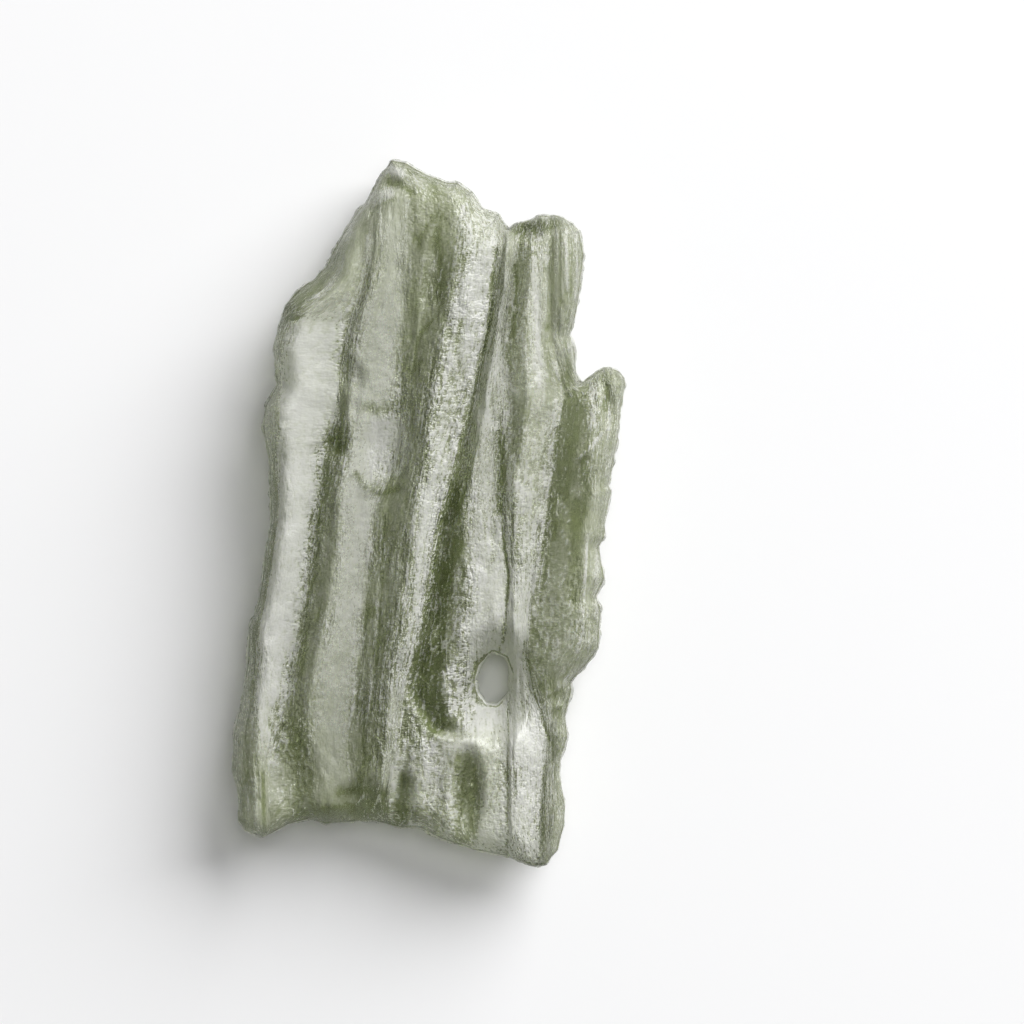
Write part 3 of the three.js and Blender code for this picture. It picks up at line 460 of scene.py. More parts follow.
@dataclass(frozen=True)
class Band:
    """The tone of the glass between two of the long lines.

    stations holds y, frost and depth from the pointed end down. The frost whites are partly etching and
    partly a painted reflection of the lamps on flats and on slopes that face them; the depth greens are
    partly clear glass and partly painted shade on slopes that face away. calm is how smooth the band
    is, from 0 for strongly etched to 1.
    """

    stations: tuple[Station, ...]
    calm: float = 0.0


# One band more than there are lines: the first runs from the left rim to the first line
# The bands' whites are partly painted reflection of the lamps, their dark greens partly painted shade
BANDS: tuple[Band, ...] = (
    Band(((17.0, 0.3, 0.4), (8.0, 0.45, 0.3), (0.0, 0.35, 0.35), (-16.0, 0.35, 0.4)), 0.2),
    Band((
        (17.0, 0.3, 0.4), (12.0, 0.35, 0.35), (9.8, 0.6, 0.15), (8.8, 1.0, 0.0),
        (-6.0, 1.0, 0.0), (-11.0, 0.9, 0.0), (-13.0, 0.35, 0.4), (-16.0, 0.3, 0.5),
    ), 0.85),
    Band((
        (17.0, 0.3, 0.3), (12.0, 0.35, 0.35), (8.0, 0.45, 0.25), (5.0, 0.4, 0.3), (3.6, 0.1, 0.8),
        (1.0, 0.3, 0.5), (-3.0, 0.22, 0.52), (-8.0, 0.3, 0.42), (-16.0, 0.25, 0.5),
    ), 0.1),
    Band((
        (17.0, 0.3, 0.4), (14.6, 0.4, 0.22), (8.0, 0.53, 0.1), (0.0, 0.65, 0.05),
        (-8.0, 0.58, 0.12), (-10.5, 0.5, 0.2), (-12.5, 0.4, 0.34), (-15.0, 0.25, 0.5),
    ), 1.0),
    Band((
        (17.0, 0.25, 0.45), (13.0, 0.2, 0.45), (10.0, 0.15, 0.55), (5.0, 0.15, 0.55),
        (0.0, 0.2, 0.5), (-8.0, 0.2, 0.5), (-15.0, 0.2, 0.55),
    ), 0.3),
    Band((
        (16.0, 0.4, 0.4), (14.5, 0.6, 0.2), (13.0, 0.9, 0.0), (9.0, 0.85, 0.05),
        (6.0, 0.75, 0.1), (2.0, 0.9, 0.0), (-6.0, 0.9, 0.0), (-10.0, 0.7, 0.1),
        (-14.0, 0.4, 0.4),
    ), 0.25),
    Band((
        (14.0, 0.5, 0.3), (11.0, 0.5, 0.3), (5.0, 0.4, 0.35), (2.8, 0.2, 0.7), (1.6, 0.0, 0.95),
        (-8.0, 0.0, 0.85), (-12.0, 0.5, 0.2),
    )),
    Band((
        (14.0, 0.6, 0.2), (4.0, 0.7, 0.1), (2.4, 0.5, 0.3), (1.0, 0.35, 0.5),
        (-3.0, 0.4, 0.38), (-7.0, 0.4, 0.35), (-10.6, 0.3, 0.5), (-11.6, 0.6, 0.15),
        (-16.0, 0.5, 0.25),
    )),
    Band((
        (14.0, 0.5, 0.2), (8.0, 0.75, 0.05), (2.0, 0.7, 0.1), (-3.0, 0.85, 0.0),
        (-9.0, 0.85, 0.0), (-12.5, 0.6, 0.2), (-17.0, 0.85, 0.05),
    ), 0.4),
    Band((
        (14.0, 0.3, 0.55), (8.0, 0.3, 0.5), (6.0, 0.5, 0.25), (4.0, 0.25, 0.6), (-1.0, 0.5, 0.3),
        (-4.0, 0.8, 0.1), (-9.0, 0.95, 0.0), (-17.0, 0.85, 0.05),
    )),
    Band((
        (14.0, 0.4, 0.35), (8.0, 0.55, 0.2), (2.0, 0.65, 0.15), (-3.0, 0.85, 0.0),
        (-17.0, 1.0, 0.0),
    ), 0.2),
    Band((
        (14.0, 0.4, 0.35), (8.0, 0.45, 0.3), (6.0, 0.08, 0.85), (0.0, 0.1, 0.75),
        (-3.0, 0.3, 0.48), (-7.0, 0.4, 0.35), (-12.0, 0.5, 0.3), (-17.0, 0.5, 0.3),
    ), 0.3),
    Band((
        (14.0, 0.3, 0.45), (8.0, 0.4, 0.4), (6.0, 0.25, 0.45), (-6.0, 0.25, 0.45),
        (-17.0, 0.3, 0.45),
    ), 0.3),
)


def unit(t: Array) -> Array:
    """Keeps t between 0 and 1."""
    return np.clip(t, 0.0, 1.0)


def ease(t: Array) -> Array:
    """Eases from 0 to 1 while t goes there, with no slope at either end."""
    c = unit(t)
    return c * c * (3.0 - 2.0 * c)


def lerp(a: Array | float, b: Array | float, t: Array | float) -> Array:
    """Mixes a and b, with t of b."""
    return a + (b - a) * t


def bell(off: Array, reach: float) -> Array:
    """1 where off is 0, fading evenly on either side of it."""
    return np.exp(-((off / reach) ** 2))


@dataclass(frozen=True)
class Noise:
    """A layer of smooth seeded noise.

    seed is added to the seed of what the layer lies on. across and along are the millimetres
    from knot to knot, amount is how far the noise goes either way, and shift moves the layer by
    so many knots.
    """

    seed: int
    across: float
    along: float
    amount: float
    shift: float = 0.0

    def at(self, seed: int, x: Array, y: Array) -> Array:
        """Works out the layer.

        Args:
            seed: The seed that the layer's own is added to.
            x: Places, across.
            y: Places, along.

        Returns:
            One value for each place.
        """
        knots = np.random.default_rng(seed + self.seed).uniform(-1.0, 1.0, (KNOTS, KNOTS))
        u = x / self.across + self.shift
        v = y / self.along + self.shift
        i = np.floor(u).astype(int)
        j = np.floor(v).astype(int)
        s = ease(u - i)
        t = ease(v - j)
        i0, i1, j0, j1 = i % KNOTS, (i + 1) % KNOTS, j % KNOTS, (j + 1) % KNOTS
        near = lerp(knots[i0, j0], knots[i1, j0], s)
        far = lerp(knots[i0, j1], knots[i1, j1], s)
        return self.amount * lerp(near, far, t)


Layers = tuple[Noise, ...]


def layered(layers: Layers, seed: int, x: Array, y: Array) -> Array:
    """Adds up layers of noise that share a seed."""
    return sum(layer.at(seed, x, y) for layer in layers)


@dataclass
class Foot:
    """The nearest places of a path to many places: where they are, how far and on which side."""

    distance: Array
    x: Array
    y: Array
    left: Array
    beyond: Array


def nearest(points: tuple[Point, ...], x: Array, y: Array, closed: bool) -> Foot:
    """Finds the nearest place of a path of straight stretches.

    Args:
        points: Corners of the path.
        x: Places to look from, across.
        y: Places to look from, along.
        closed: Whether the path runs back to its start.

    Returns:
        The nearest place for each of the places.
    """
    count = len(points) if closed else len(points) - 1
    best = np.full((5, *x.shape), np.inf)
    for i in range(count):
        ax, ay = points[i]
        bx, by = points[(i + 1) % len(points)]
        along = (x - ax) * (bx - ax) + (y - ay) * (by - ay)
        t = unit(along / ((bx - ax) ** 2 + (by - ay) ** 2))
        px = lerp(ax, bx, t)
        py = lerp(ay, by, t)
        distance = np.hypot(x - px, y - py)
        left = (bx - ax) * (y - ay) - (by - ay) * (x - ax) > 0
        end = np.zeros(x.shape, bool)
        if not closed and i == 0:
            end |= t == 0
        if not closed and i == count - 1:
            end |= t == 1
        best = np.where(distance < best[0], np.stack([distance, px, py, left, end]), best)
    return Foot(best[0], best[1], best[2], best[3] > 0, best[4] > 0)


def encloses(points: tuple[Point, ...], x: Array, y: Array) -> Array:
    """Tells which places a closed path goes round.

    Args:
        points: Corners of the path.
        x: Places, across.
        y: Places, along.

    Returns:
        True for each place inside.
    """
    inside = np.zeros(x.shape, bool)
    for i, (ax, ay) in enumerate(points):
        bx, by = points[i - 1]
        if ay == by:
            continue
        crossed = (ay > y) != (by > y)
        inside ^= crossed & (x < (bx - ax) * (y - ay) / (by - ay) + ax)
    return inside


def line_at(line: Line, y: Array) -> tuple[Array, Array]:
    """Where a long line lies, on a smooth curve through its stations.

    Args:
        line: The line's stations, from the pointed end down.
        y: Places along the stone.

    Returns:
        The line's x and its z at each place.
    """
    p = np.array(line)
    depth = np.clip(-y, -p[0, 1], -p[-1, 1])
    i = np.clip(np.searchsorted(-p[:, 1], depth, side="right") - 1, 0, len(p) - 2)
    before = np.maximum(i - 1, 0)
    after = np.minimum(i + 2, len(p) - 1)
    span = p[i + 1, 1] - p[i, 1]
    t = (-depth - p[i, 1]) / span
    values = []
    for k in (0, 2):
        start = (p[i + 1, k] - p[before, k]) / (p[i + 1, 1] - p[before, 1]) * span
        end = (p[after, k] - p[i, k]) / (p[after, 1] - p[i, 1]) * span
        rise = p[i + 1, k] - p[i, k]
        bend = 3 * rise - 2 * start - end + t * (start + end - 2 * rise)
        values.append(p[i, k] + t * (start + t * bend))
    return values[0], values[1]


def place(name: str, data: bpy.types.ID) -> bpy.types.Object:
    """Puts a new object in the scene.

    Args:
        name: Its name.
        data: What it shows.

    Returns:
        The object.
    """
    thing = bpy.data.objects.new(name, data)
    bpy.context.scene.collection.objects.link(thing)
    return thing


@dataclass
class Surface:
    """Places on the stone, with what its relief and its tone are worked out from.

    grain runs across the flutes and stays the same along each of them, so that what is
    stretched along it follows the flutes. rim and window are how far the place lies from
    each, and out points to the nearest place of the rim. wander is x with the flutes' small
    side steps.
    """

    x: Array
    y: Array
    grain: Array
    rim: Array
    window: Array
    out: Array
    wander: Array


@dataclass
class Shard:
    """The stone: sizes in millimetres, its height fields, its tone and its closed mesh."""

    # The rounded edge between the two faces
    edge_inset: float = 0.14
    edge_bulge: float = 0.12
    edge_thickness: float = 0.75
    edge_height: float = 2.35
    edge_wave: float = 0.35
    edge_wave_length: float = 15.0
    edge_steps: int = 5
    chip_reach: float = 0.07
    chip_middle: float = 0.5
    chips: Layers = (Noise(0, 0.32, 0.32, 1.0, 40), Noise(1, 0.9, 0.9, 0.6, 40))
    edge_rough: Noise = Noise(2, 0.3, 0.3, 0.03, 40)
    # The faces
    least_thickness: float = 0.45
    front_shoulder: float = 1.5
    back_shoulder: float = 2.6
    pocket_depth: float = 2.7
    pocket_wall: float = 0.55
    pocket_dish: float = 1.7
    pocket_end: float = 1.6
    break_reach: float = 3.0
    break_fade: float = 0.5
    relief_wander: float = 0.35
    side_steps: Layers = (
        Noise(8, 0.75, 1.1, 0.22, 50), Noise(9, 0.28, 0.9, 0.066, 50), Noise(10, 2.2, 3.0, 0.176, 50),
    )
    # The cells of the mesh
    cell_across: float = 0.1
    cell_along: float = 0.135
    margin: float = 3.0
    snap_share: float = 0.3
    inset_passes: int = 4
    # The etching. Of ribs and furrows, the last layer is where they show.
    striae: Layers = (Noise(0, 0.42, 5.0, 0.08), Noise(1, 0.23, 2.2, 0.05), Noise(2, 0.15, 0.5, 0.028))
    ribs: Layers = (
        Noise(54, 0.55, 3.0, 1.0, 70), Noise(55, 0.22, 0.75, 0.3, 70), Noise(56, 1.4, 2.6, 0.9, 70),
    )
    furrows: Layers = (
        Noise(50, 0.7, 4.0, 1.0, 70), Noise(51, 0.28, 1.0, 0.3, 70), Noise(52, 1.4, 2.6, 0.9, 70),
    )
    thread_share: float = 0.17
    thread_shown: float = 0.45
    rib_height: float = 0.05
    furrow_depth: float = 0.09
    calm_relief: float = 0.15
    lumps: Noise = Noise(3, 1.2, 1.7, 0.06)
    back_relief: float = 0.8
    pit_seed: int = 4
    pit_count: int = 420
    pit_reach: Point = (9.5, 17.0)
    pit_half: Point = (0.12, 0.34)
    pit_stretch: Point = (1.2, 3.2)
    pit_drop: Point = (0.1, 0.26)
    # The marks: how far they may reach, in half widths, and how ragged and crisp they get
    mark_reach: float = 1.3
    mark_ragged: Noise = Noise(5, 0.17, 0.6, 0.25)
    mark_crisp: float = 0.85
    # The tone of the front
    calm_tone: float = 0.2
    streaks: Layers = (
        Noise(20, 0.62, 3.2, 0.14, 60), Noise(21, 0.27, 1.5, 0.1, 60), Noise(22, 0.9, 0.8, 0.08, 60),
    )
    rib_frost: float = 0.45
    rib_depth: float = 0.4
    furrow_frost: float = 0.4
    furrow_green: float = 0.55
    rim_line_at: float = 0.25
    rim_line_half: float = 0.16
    rim_line_frost: float = 0.2
    rim_line_depth: float = 0.3
    rim_line_share: float = 0.6
    rim_line_uneven: Noise = Noise(6, 0.6, 0.6, 0.8)
    # Its specks: everywhere, more in clear green, at borders between tones and at the rim. They are partly
    # the glass's own grain and partly painted glints.
    specks: float = 0.26
    green_specks: float = 0.3
    border_specks: float = 0.45
    border_reach: float = 0.42
    mark_core: float = 0.6
    rim_specks: float = 0.12
    rim_reach: float = 0.5
    speck_share: float = 0.7
    speck_patches: Noise = Noise(23, 1.1, 1.9, 0.6, 60)
    # The tone of the back and of the sides, as frost, depth and specks
    back_look: Tone = (0.5, 0.3, 0.3)
    back_streaks: Layers = (Noise(20, 0.9, 6.0, 0.3, 60), Noise(21, 1.6, 2.4, 0.2, 60))
    side_look: Tone = (0.5, 0.35, 0.3)
    side_pallor: float = 0.5
    side_fall: float = 1.8
    # Seeds
    seed: int = 7
    front_seed: int = 10
    back_seed: int = 40

    def build(self) -> bpy.types.Object:
        """Makes the stone.

        Returns:
            The stone's object, with its flute coordinates and its tone.
        """
        corners, triangles = self.cells()
        surface = self.surface(corners[:, 0], corners[:, 1])
        back = self.back(surface)
        front = np.maximum(self.front(surface), back + self.least_thickness)
        places, faces, source, turn = self.close(corners, triangles, front, back)
        mesh = bpy.data.meshes.new(PIECE)
        mesh.from_pydata((self.into_box(places) * MM).tolist(), [], faces)
        mesh.update()
        self.dress(mesh, surface, source, turn)
        return place(PIECE, mesh)

    def edge(self, x: Array, y: Array) -> tuple[Array, Array, Array]:
        """Distance to the edge of the glass, positive inside it, and the nearest place there.

        Args:
            x: Places, across.
            y: Places, along.

        Returns:
            The signed distance and the nearest place's x and y.
        """
        rim = nearest(RIM, x, y, True)
        window = nearest(WINDOW, x, y, True)
        first = rim.distance < window.distance
        distance = np.where(first, rim.distance, window.distance)
        glass = encloses(RIM, x, y) & ~encloses(WINDOW, x, y)
        signed = np.where(glass, distance, -distance)
        return signed, np.where(first, rim.x, window.x), np.where(first, rim.y, window.y)

    def onto_inset(self, x: Array, y: Array) -> tuple[Array, Array]:
        """Moves places onto the line where the two faces end.

        Args:
            x: Places, across.
            y: Places, along.

        Returns:
            The places' new x and y.
        """
        for _ in range(self.inset_passes):
            signed, ex, ey = self.edge(x, y)
            step = (signed - self.edge_inset) / signed
            x = lerp(x, ex, step)
            y = lerp(y, ey, step)
        return x, y

    def cells(self) -> tuple[Array, list[Triangle]]:
        """Fills the outline with small cells in columns that follow the flutes.

        Returns:
            The corners as rows of x and y, and the triangles, turning anticlockwise.
        """
        top = max(y for _, y in RIM) + self.cell_along / 2
        rows = math.ceil(2 * top / self.cell_along) + 1
        heights = top - np.arange(rows) * self.cell_along
        stations = [line_at(line, heights)[0] for line in FRONT_LINES.values()]
        stations = [stations[0] - self.margin, *stations, stations[-1] + self.margin]
        columns = [stations[0]]
        for left, right in zip(stations, stations[1:]):
            count = max(1, round(float(np.mean(right - left)) / self.cell_across))
            columns += [lerp(left, right, i / count) for i in range(1, count + 1)]
        x = np.stack(columns, axis=1)
        y = np.repeat(heights[:, None], x.shape[1], axis=1)
        value = self.edge(x, y)[0] - self.edge_inset
        width = np.minimum(np.diff(x, axis=1, prepend=-np.inf), np.diff(x, axis=1, append=np.inf))
        near = np.abs(value) <= self.snap_share * np.minimum(width, self.cell_along)
        x[near], y[near] = self.onto_inset(x[near], y[near])
        value[near] = 0.0
        return self.clip(x, y, value)

    def clip(self, x: Array, y: Array, value: Array) -> tuple[Array, list[Triangle]]:
        """Keeps the part of a grid of cells that lies in the glass.

        Args:
            x: The grid's corners, across.
            y: The grid's corners, along.
            value: How far each corner lies inside the glass.

        Returns:
            The corners as rows of x and y, and the triangles.
        """
        index = np.arange(x.size).reshape(x.shape)
        upper = index[:-1, :-1].ravel()
        lower = upper + x.shape[1]
        loops = np.concatenate([
            np.stack([lower, lower + 1, upper + 1], axis=1),
            np.stack([lower, upper + 1, upper], axis=1),
        ])
        flat = value.ravel()
        corners = list(zip(x.ravel().tolist(), y.ravel().tolist()))
        inside = flat[loops]
        whole = (inside >= 0).all(axis=1) & (inside > 0).any(axis=1)
        split = (inside > 0).any(axis=1) & (inside < 0).any(axis=1)
        triangles = [tuple(row) for row in loops[whole].tolist()]
        cuts: dict[tuple[int, int], int] = {}
        crossings: list[Point] = []
        for loop in loops[split].tolist():
            ring = []
            for start, end in zip(loop, loop[1:] + loop[:1]):
                if flat[start] >= 0:
                    ring.append(start)
                if flat[start] * flat[end] < 0:
                    key = (min(start, end), max(start, end))
                    if key not in cuts:
                        t = flat[key[0]] / (flat[key[0]] - flat[key[1]])
                        (ax, ay), (bx, by) = corners[key[0]], corners[key[1]]
                        cuts[key] = len(corners) + len(crossings)
                        crossings.append((lerp(ax, bx, t), lerp(ay, by, t)))
                    ring.append(cuts[key])
            triangles += [(ring[0], ring[k], ring[k + 1]) for k in range(1, len(ring) - 1)]
        cut = np.array(crossings)
        moved = np.stack(self.onto_inset(cut[:, 0], cut[:, 1]), axis=1)
        places = np.concatenate([np.array(corners), moved])
        used, renumbered = np.unique(np.array(triangles), return_inverse=True)
        return places[used], [tuple(row) for row in renumbered.reshape(-1, 3).tolist()]

    def surface(self, x: Array, y: Array) -> Surface:
        """Works out what else has to be known of each place.

        Args:
            x: Places, across.
            y: Places, along.

        Returns:
            The places with their grain, their distances and their wander.
        """
        stations = np.stack([line_at(line, y)[0] for line in FRONT_LINES.values()])
        middle = np.array([np.mean([p[0] for p in line]) for line in FRONT_LINES.values()])
        right = (stations <= x).sum(axis=0)
        k = np.clip(right - 1, 0, len(middle) - 2)
        n = np.arange(len(x))
        t = (x - stations[k, n]) / (stations[k + 1, n] - stations[k, n])
        inner = lerp(middle[k], middle[k + 1], t)
        grain = np.where(right == 0, middle[0] + x - stations[0], inner)
        grain = np.where(right == len(middle), middle[-1] + x - stations[-1], grain)
        foot = nearest(RIM, x, y, True)
        out = np.column_stack([foot.x - x, foot.y - y]) / foot.distance[:, None]
        rim = np.maximum(foot.distance - self.edge_inset, 0.0)
        window = nearest(WINDOW, x, y, True).distance - self.edge_inset
        wander = x + layered(self.side_steps, self.seed, grain, y)
        return Surface(x, y, grain, rim, window, out, wander)

    def fluted(self, lines: dict[str, Line], x: Array, y: Array) -> Array:
        """Height of a face that is stretched over long lines of crests and valleys.

        Args:
            lines: The lines, from left to right.
            x: Places, across.
            y: Places, along.

        Returns:
            The height at each place.
        """
        at = [line_at(line, y) for line in lines.values()]
        height = at[0][1].copy()
        for (ax, az), (bx, bz) in zip(at, at[1:]):
            t = (x - ax) / (bx - ax)
            height = np.where(x >= ax, lerp(az, bz, (t + ease(t)) / 2), height)
        return np.where(x >= at[-1][0], at[-1][1], height)

    def shoulder(self, depth: Array, width: Array | float) -> Array:
        """0 at the rim and 1 a shoulder's width inside it, along a quarter round."""
        return np.sqrt(1.0 - (1.0 - unit(depth / width)) ** 2)

    def edge_middle(self, at: Surface) -> Array:
        """Height of the middle of the rim beside each place."""
        turns = (at.y + at.x) / self.edge_wave_length
        return self.edge_height + self.edge_wave * np.sin(2 * math.pi * turns)

    def back(self, at: Surface) -> Array:
        """Height of the back face, never below what the stone lies on.

        Args:
            at: Places on the stone.

        Returns:
            The height at each place.
        """
        low = self.edge_middle(at) - self.edge_thickness / 2
        plain = self.fluted(BACK_LINES, at.x, at.y)
        plain = plain + self.etching(at, self.back_seed, 0.0) * self.back_relief
        return np.maximum(0.0, lerp(low, plain, self.shoulder(at.rim, self.back_shoulder)))

    def front(self, at: Surface) -> Array:
        """Height of the front face.

        Args:
            at: Places on the stone.

        Returns:
            The height at each place.
        """
        x = lerp(at.x, at.wander, self.relief_wander)
        plain = self.fluted(FRONT_LINES, x, at.y) - self.pocket(at)
        for spot in SPOTS:
            plain += self.spot_lift(spot, at)
        for each in BREAKS:
            plain -= self.break_drop(each, at)
        for mark in MARKS:
            plain += mark.lift * self.mark_weight(mark, at)
        plain += self.etching(at, self.front_seed, self.calm(at))
        low = self.edge_middle(at) + self.edge_thickness / 2
        rounded = lerp(low, plain, self.shoulder(at.rim, self.front_shoulder))
        return np.where(plain > low, rounded, plain)

    def pocket(self, at: Surface) -> Array:
        """How far the pocket sinks the face: most at the foot of its steep wall.

        Args:
            at: Places on the stone.

        Returns:
            The drop at each place.
        """
        inside = encloses(POCKET_BRINK + POCKET_BANK[1:-1], at.x, at.y)
        brink = nearest(POCKET_BRINK, at.x, at.y, False).distance
        bank = nearest(POCKET_BANK, at.x, at.y, False).distance
        share = bank / (brink + bank)
        drop = self.pocket_depth * ease(brink / self.pocket_wall) * share**self.pocket_dish
        end_x, end_y = POCKET_BRINK[-1]
        drop = drop * ease(np.hypot(at.x - end_x, at.y - end_y) / self.pocket_end)
        return np.where(inside, drop, 0.0)

    def spot_lift(self, spot: Spot, at: Surface) -> Array:
        """How much one dent or lump lifts the face.

        Args:
            spot: The dent or lump.
            at: Places on the stone.

        Returns:
            The lift at each place.
        """
        angle = math.radians(spot.turn)
        dx = at.x - spot.at[0]
        dy = at.y - spot.at[1]
        across = (dx * math.cos(angle) + dy * math.sin(angle)) / spot.half[0]
        along = (dy * math.cos(angle) - dx * math.sin(angle)) / spot.half[1]
        return spot.lift * np.maximum(0.0, 1.0 - across**2 - along**2) ** 2

    def break_drop(self, each: Break, at: Surface) -> Array:
        """How much one break takes off the face.

        Args:
            each: The break.
            at: Places on the stone.

        Returns:
            The drop at each place.
        """
        foot = nearest(each.brink, at.x, at.y, False)
        fade = np.where(foot.beyond, np.maximum(0.0, 1.0 - foot.distance / self.break_fade), 1.0)
        broken = foot.left & (foot.distance <= self.break_reach)
        return np.where(broken, each.slope * foot.distance * fade, 0.0)

    def mark_weight(self, mark: Mark, at: Surface) -> Array:
        """How strongly one mark works at each place, with a ragged edge.

        Args:
            mark: The mark.
            at: Places on the stone.

        Returns:
            The weight at each place, from 0 to 1.
        """
        weight = np.zeros(at.x.shape)
        xs, ys = zip(*mark.path)
        reach = mark.half_width * self.mark_reach
        near = (at.x > min(xs) - reach) & (at.x < max(xs) + reach)
        near &= (at.y > min(ys) - reach) & (at.y < max(ys) + reach)
        distance = nearest(mark.path, at.x[near], at.y[near], False).distance
        ragged = 1.0 + self.mark_ragged.at(self.seed, at.grain[near], at.y[near])
        depth = 1.0 - distance / (mark.half_width * ragged)
        weight[near] = ease(depth / (1.0 - self.mark_crisp * mark.crisp))
        return weight

    def calm(self, at: Surface) -> Array:
        """How smooth the front face is, from 0 for strongly etched to 1."""
        return sum(weight * band.calm for weight, band in zip(self.band_weights(at), BANDS))

    def band_weights(self, at: Surface) -> list[Array]:
        """How much each band has of each place.

        Args:
            at: Places on the stone.

        Returns:
            One array of weights for each band, which add up to about 1.
        """
        past = [np.ones(at.x.shape)]
        for name, line in FRONT_LINES.items():
            border = BORDERS.get(name, Border())
            x = lerp(at.x, at.wander, border.ragged)
            past.append(ease((x - line_at(line, at.y)[0]) / border.width + 0.5))
        past.append(np.zeros(at.x.shape))
        return [past[k] * (1.0 - past[k + 1]) for k in range(len(BANDS))]

    def tone(self, at: Surface) -> tuple[Array, Array, Array]:
        """Frost, depth and specks of the front face.

        Args:
            at: Places on the stone.

        Returns:
            Three arrays from 0 to 1.
        """
        weights = self.band_weights(at)
        total = sum(weights)
        frost = np.zeros(at.x.shape)
        depth = np.zeros(at.x.shape)
        tones = []
        for weight, band in zip(weights, BANDS):
            y, white, green = np.array(band.stations)[::-1].T
            white = np.interp(at.y, y, white)
            green = np.interp(at.y, y, green)
            frost += weight / total * white
            depth += weight / total * green
            tones.append(white - green)
        calm = unit(self.calm(at))
        specks = (self.specks + self.green_specks * depth) * (1.0 - calm)
        for k, line in enumerate(FRONT_LINES.values()):
            border = bell(at.wander - line_at(line, at.y)[0], self.border_reach)
            specks += self.border_specks * np.abs(tones[k + 1] - tones[k]) * border
        for mark in MARKS:
            weight = self.mark_weight(mark, at)
            frost += mark.frost * weight
            depth += mark.depth * weight
            contrast = self.border_specks * abs(mark.frost - mark.depth)
            specks += contrast * weight * (1.0 - self.mark_core * weight)
        specks *= self.speck_share + self.speck_patches.at(self.seed, at.grain, at.y)
        keep = lerp(1.0, self.calm_tone, calm)
        streaks = keep * layered(self.streaks, self.seed, at.grain, at.y)
        ribs = keep * self.threads(at, self.ribs, self.front_seed)
        furrows = keep * self.threads(at, self.furrows, self.front_seed)
        frost += streaks + self.rib_frost * ribs - self.furrow_frost * furrows
        depth += self.furrow_green * furrows - streaks - self.rib_depth * ribs
        line = unit(self.rim_line_share + self.rim_line_uneven.at(self.seed, at.x, at.y))
        line = line * bell(at.rim - self.rim_line_at, self.rim_line_half)
        frost -= self.rim_line_frost * line
        depth += self.rim_line_depth * line
        specks += self.rim_specks * bell(at.rim, self.rim_reach)
        return unit(frost), unit(depth), unit(specks)

    def back_tone(self, at: Surface) -> tuple[Array, Array, Array]:
        """Frost, depth and specks of the back face, which the photograph doesn't show.

        Args:
            at: Places on the stone.

        Returns:
            Three arrays from 0 to 1.
        """
        white = layered(self.back_streaks, self.back_seed, at.grain, at.y)
        white -= self.furrow_frost * self.threads(at, self.furrows, self.back_seed)
        frost, depth, specks = self.back_look
        return unit(frost + white), unit(depth - white), np.full(at.x.shape, specks)

    def threads(self, at: Surface, layers: Layers, seed: int) -> Array:
        """Thin lines that wander along the flutes and fade in and out.

        Args:
            at: Places on the stone.
            layers: The layers that the lines follow, and last the one that says where they show.
            seed: Seed of the face.

        Returns:
            1 on a line and 0 off it, for each place.
        """
        off = np.abs(layered(layers[:-1], seed, at.grain, at.y)) / self.thread_share
        shown = unit(self.thread_shown + layers[-1].at(seed, at.grain, at.y))
        return unit(1.0 - off) * shown

    def etching(self, at: Surface, seed: int, calm: Array | float) -> Array:
        """The fine relief that etching left: striae along the flutes, low lumps and pits.

        Args:
            at: Places on the stone.
            seed: Seed of this face's noise.
            calm: How much of the relief is worn away, from 0 to 1.

        Returns:
            The relief's height at each place.
        """
        keep = lerp(1.0, self.calm_relief, calm)
        relief = layered(self.striae, seed, at.grain, at.y)
        relief += self.rib_height * self.threads(at, self.ribs, seed)
        relief -= self.furrow_depth * self.threads(at, self.furrows, seed)
        relief = relief * keep
        relief += self.lumps.at(seed, at.grain, at.y) * lerp(self.calm_relief, 1.0, keep)
        draw = np.random.default_rng(seed + self.pit_seed)
        wide, high = self.pit_reach
        for _ in range(self.pit_count):
            px = draw.uniform(-wide, wide)
            py = draw.uniform(-high, high)
            across = draw.uniform(*self.pit_half)
            along = across * draw.uniform(*self.pit_stretch)
            drop = draw.uniform(*self.pit_drop) * across
            near = (np.abs(at.grain - px) < across) & (np.abs(at.y - py) < along)
            r = ((at.grain[near] - px) / across) ** 2 + ((at.y[near] - py) / along) ** 2
            relief[near] -= drop * np.maximum(0.0, 1.0 - r) ** 2
        return relief

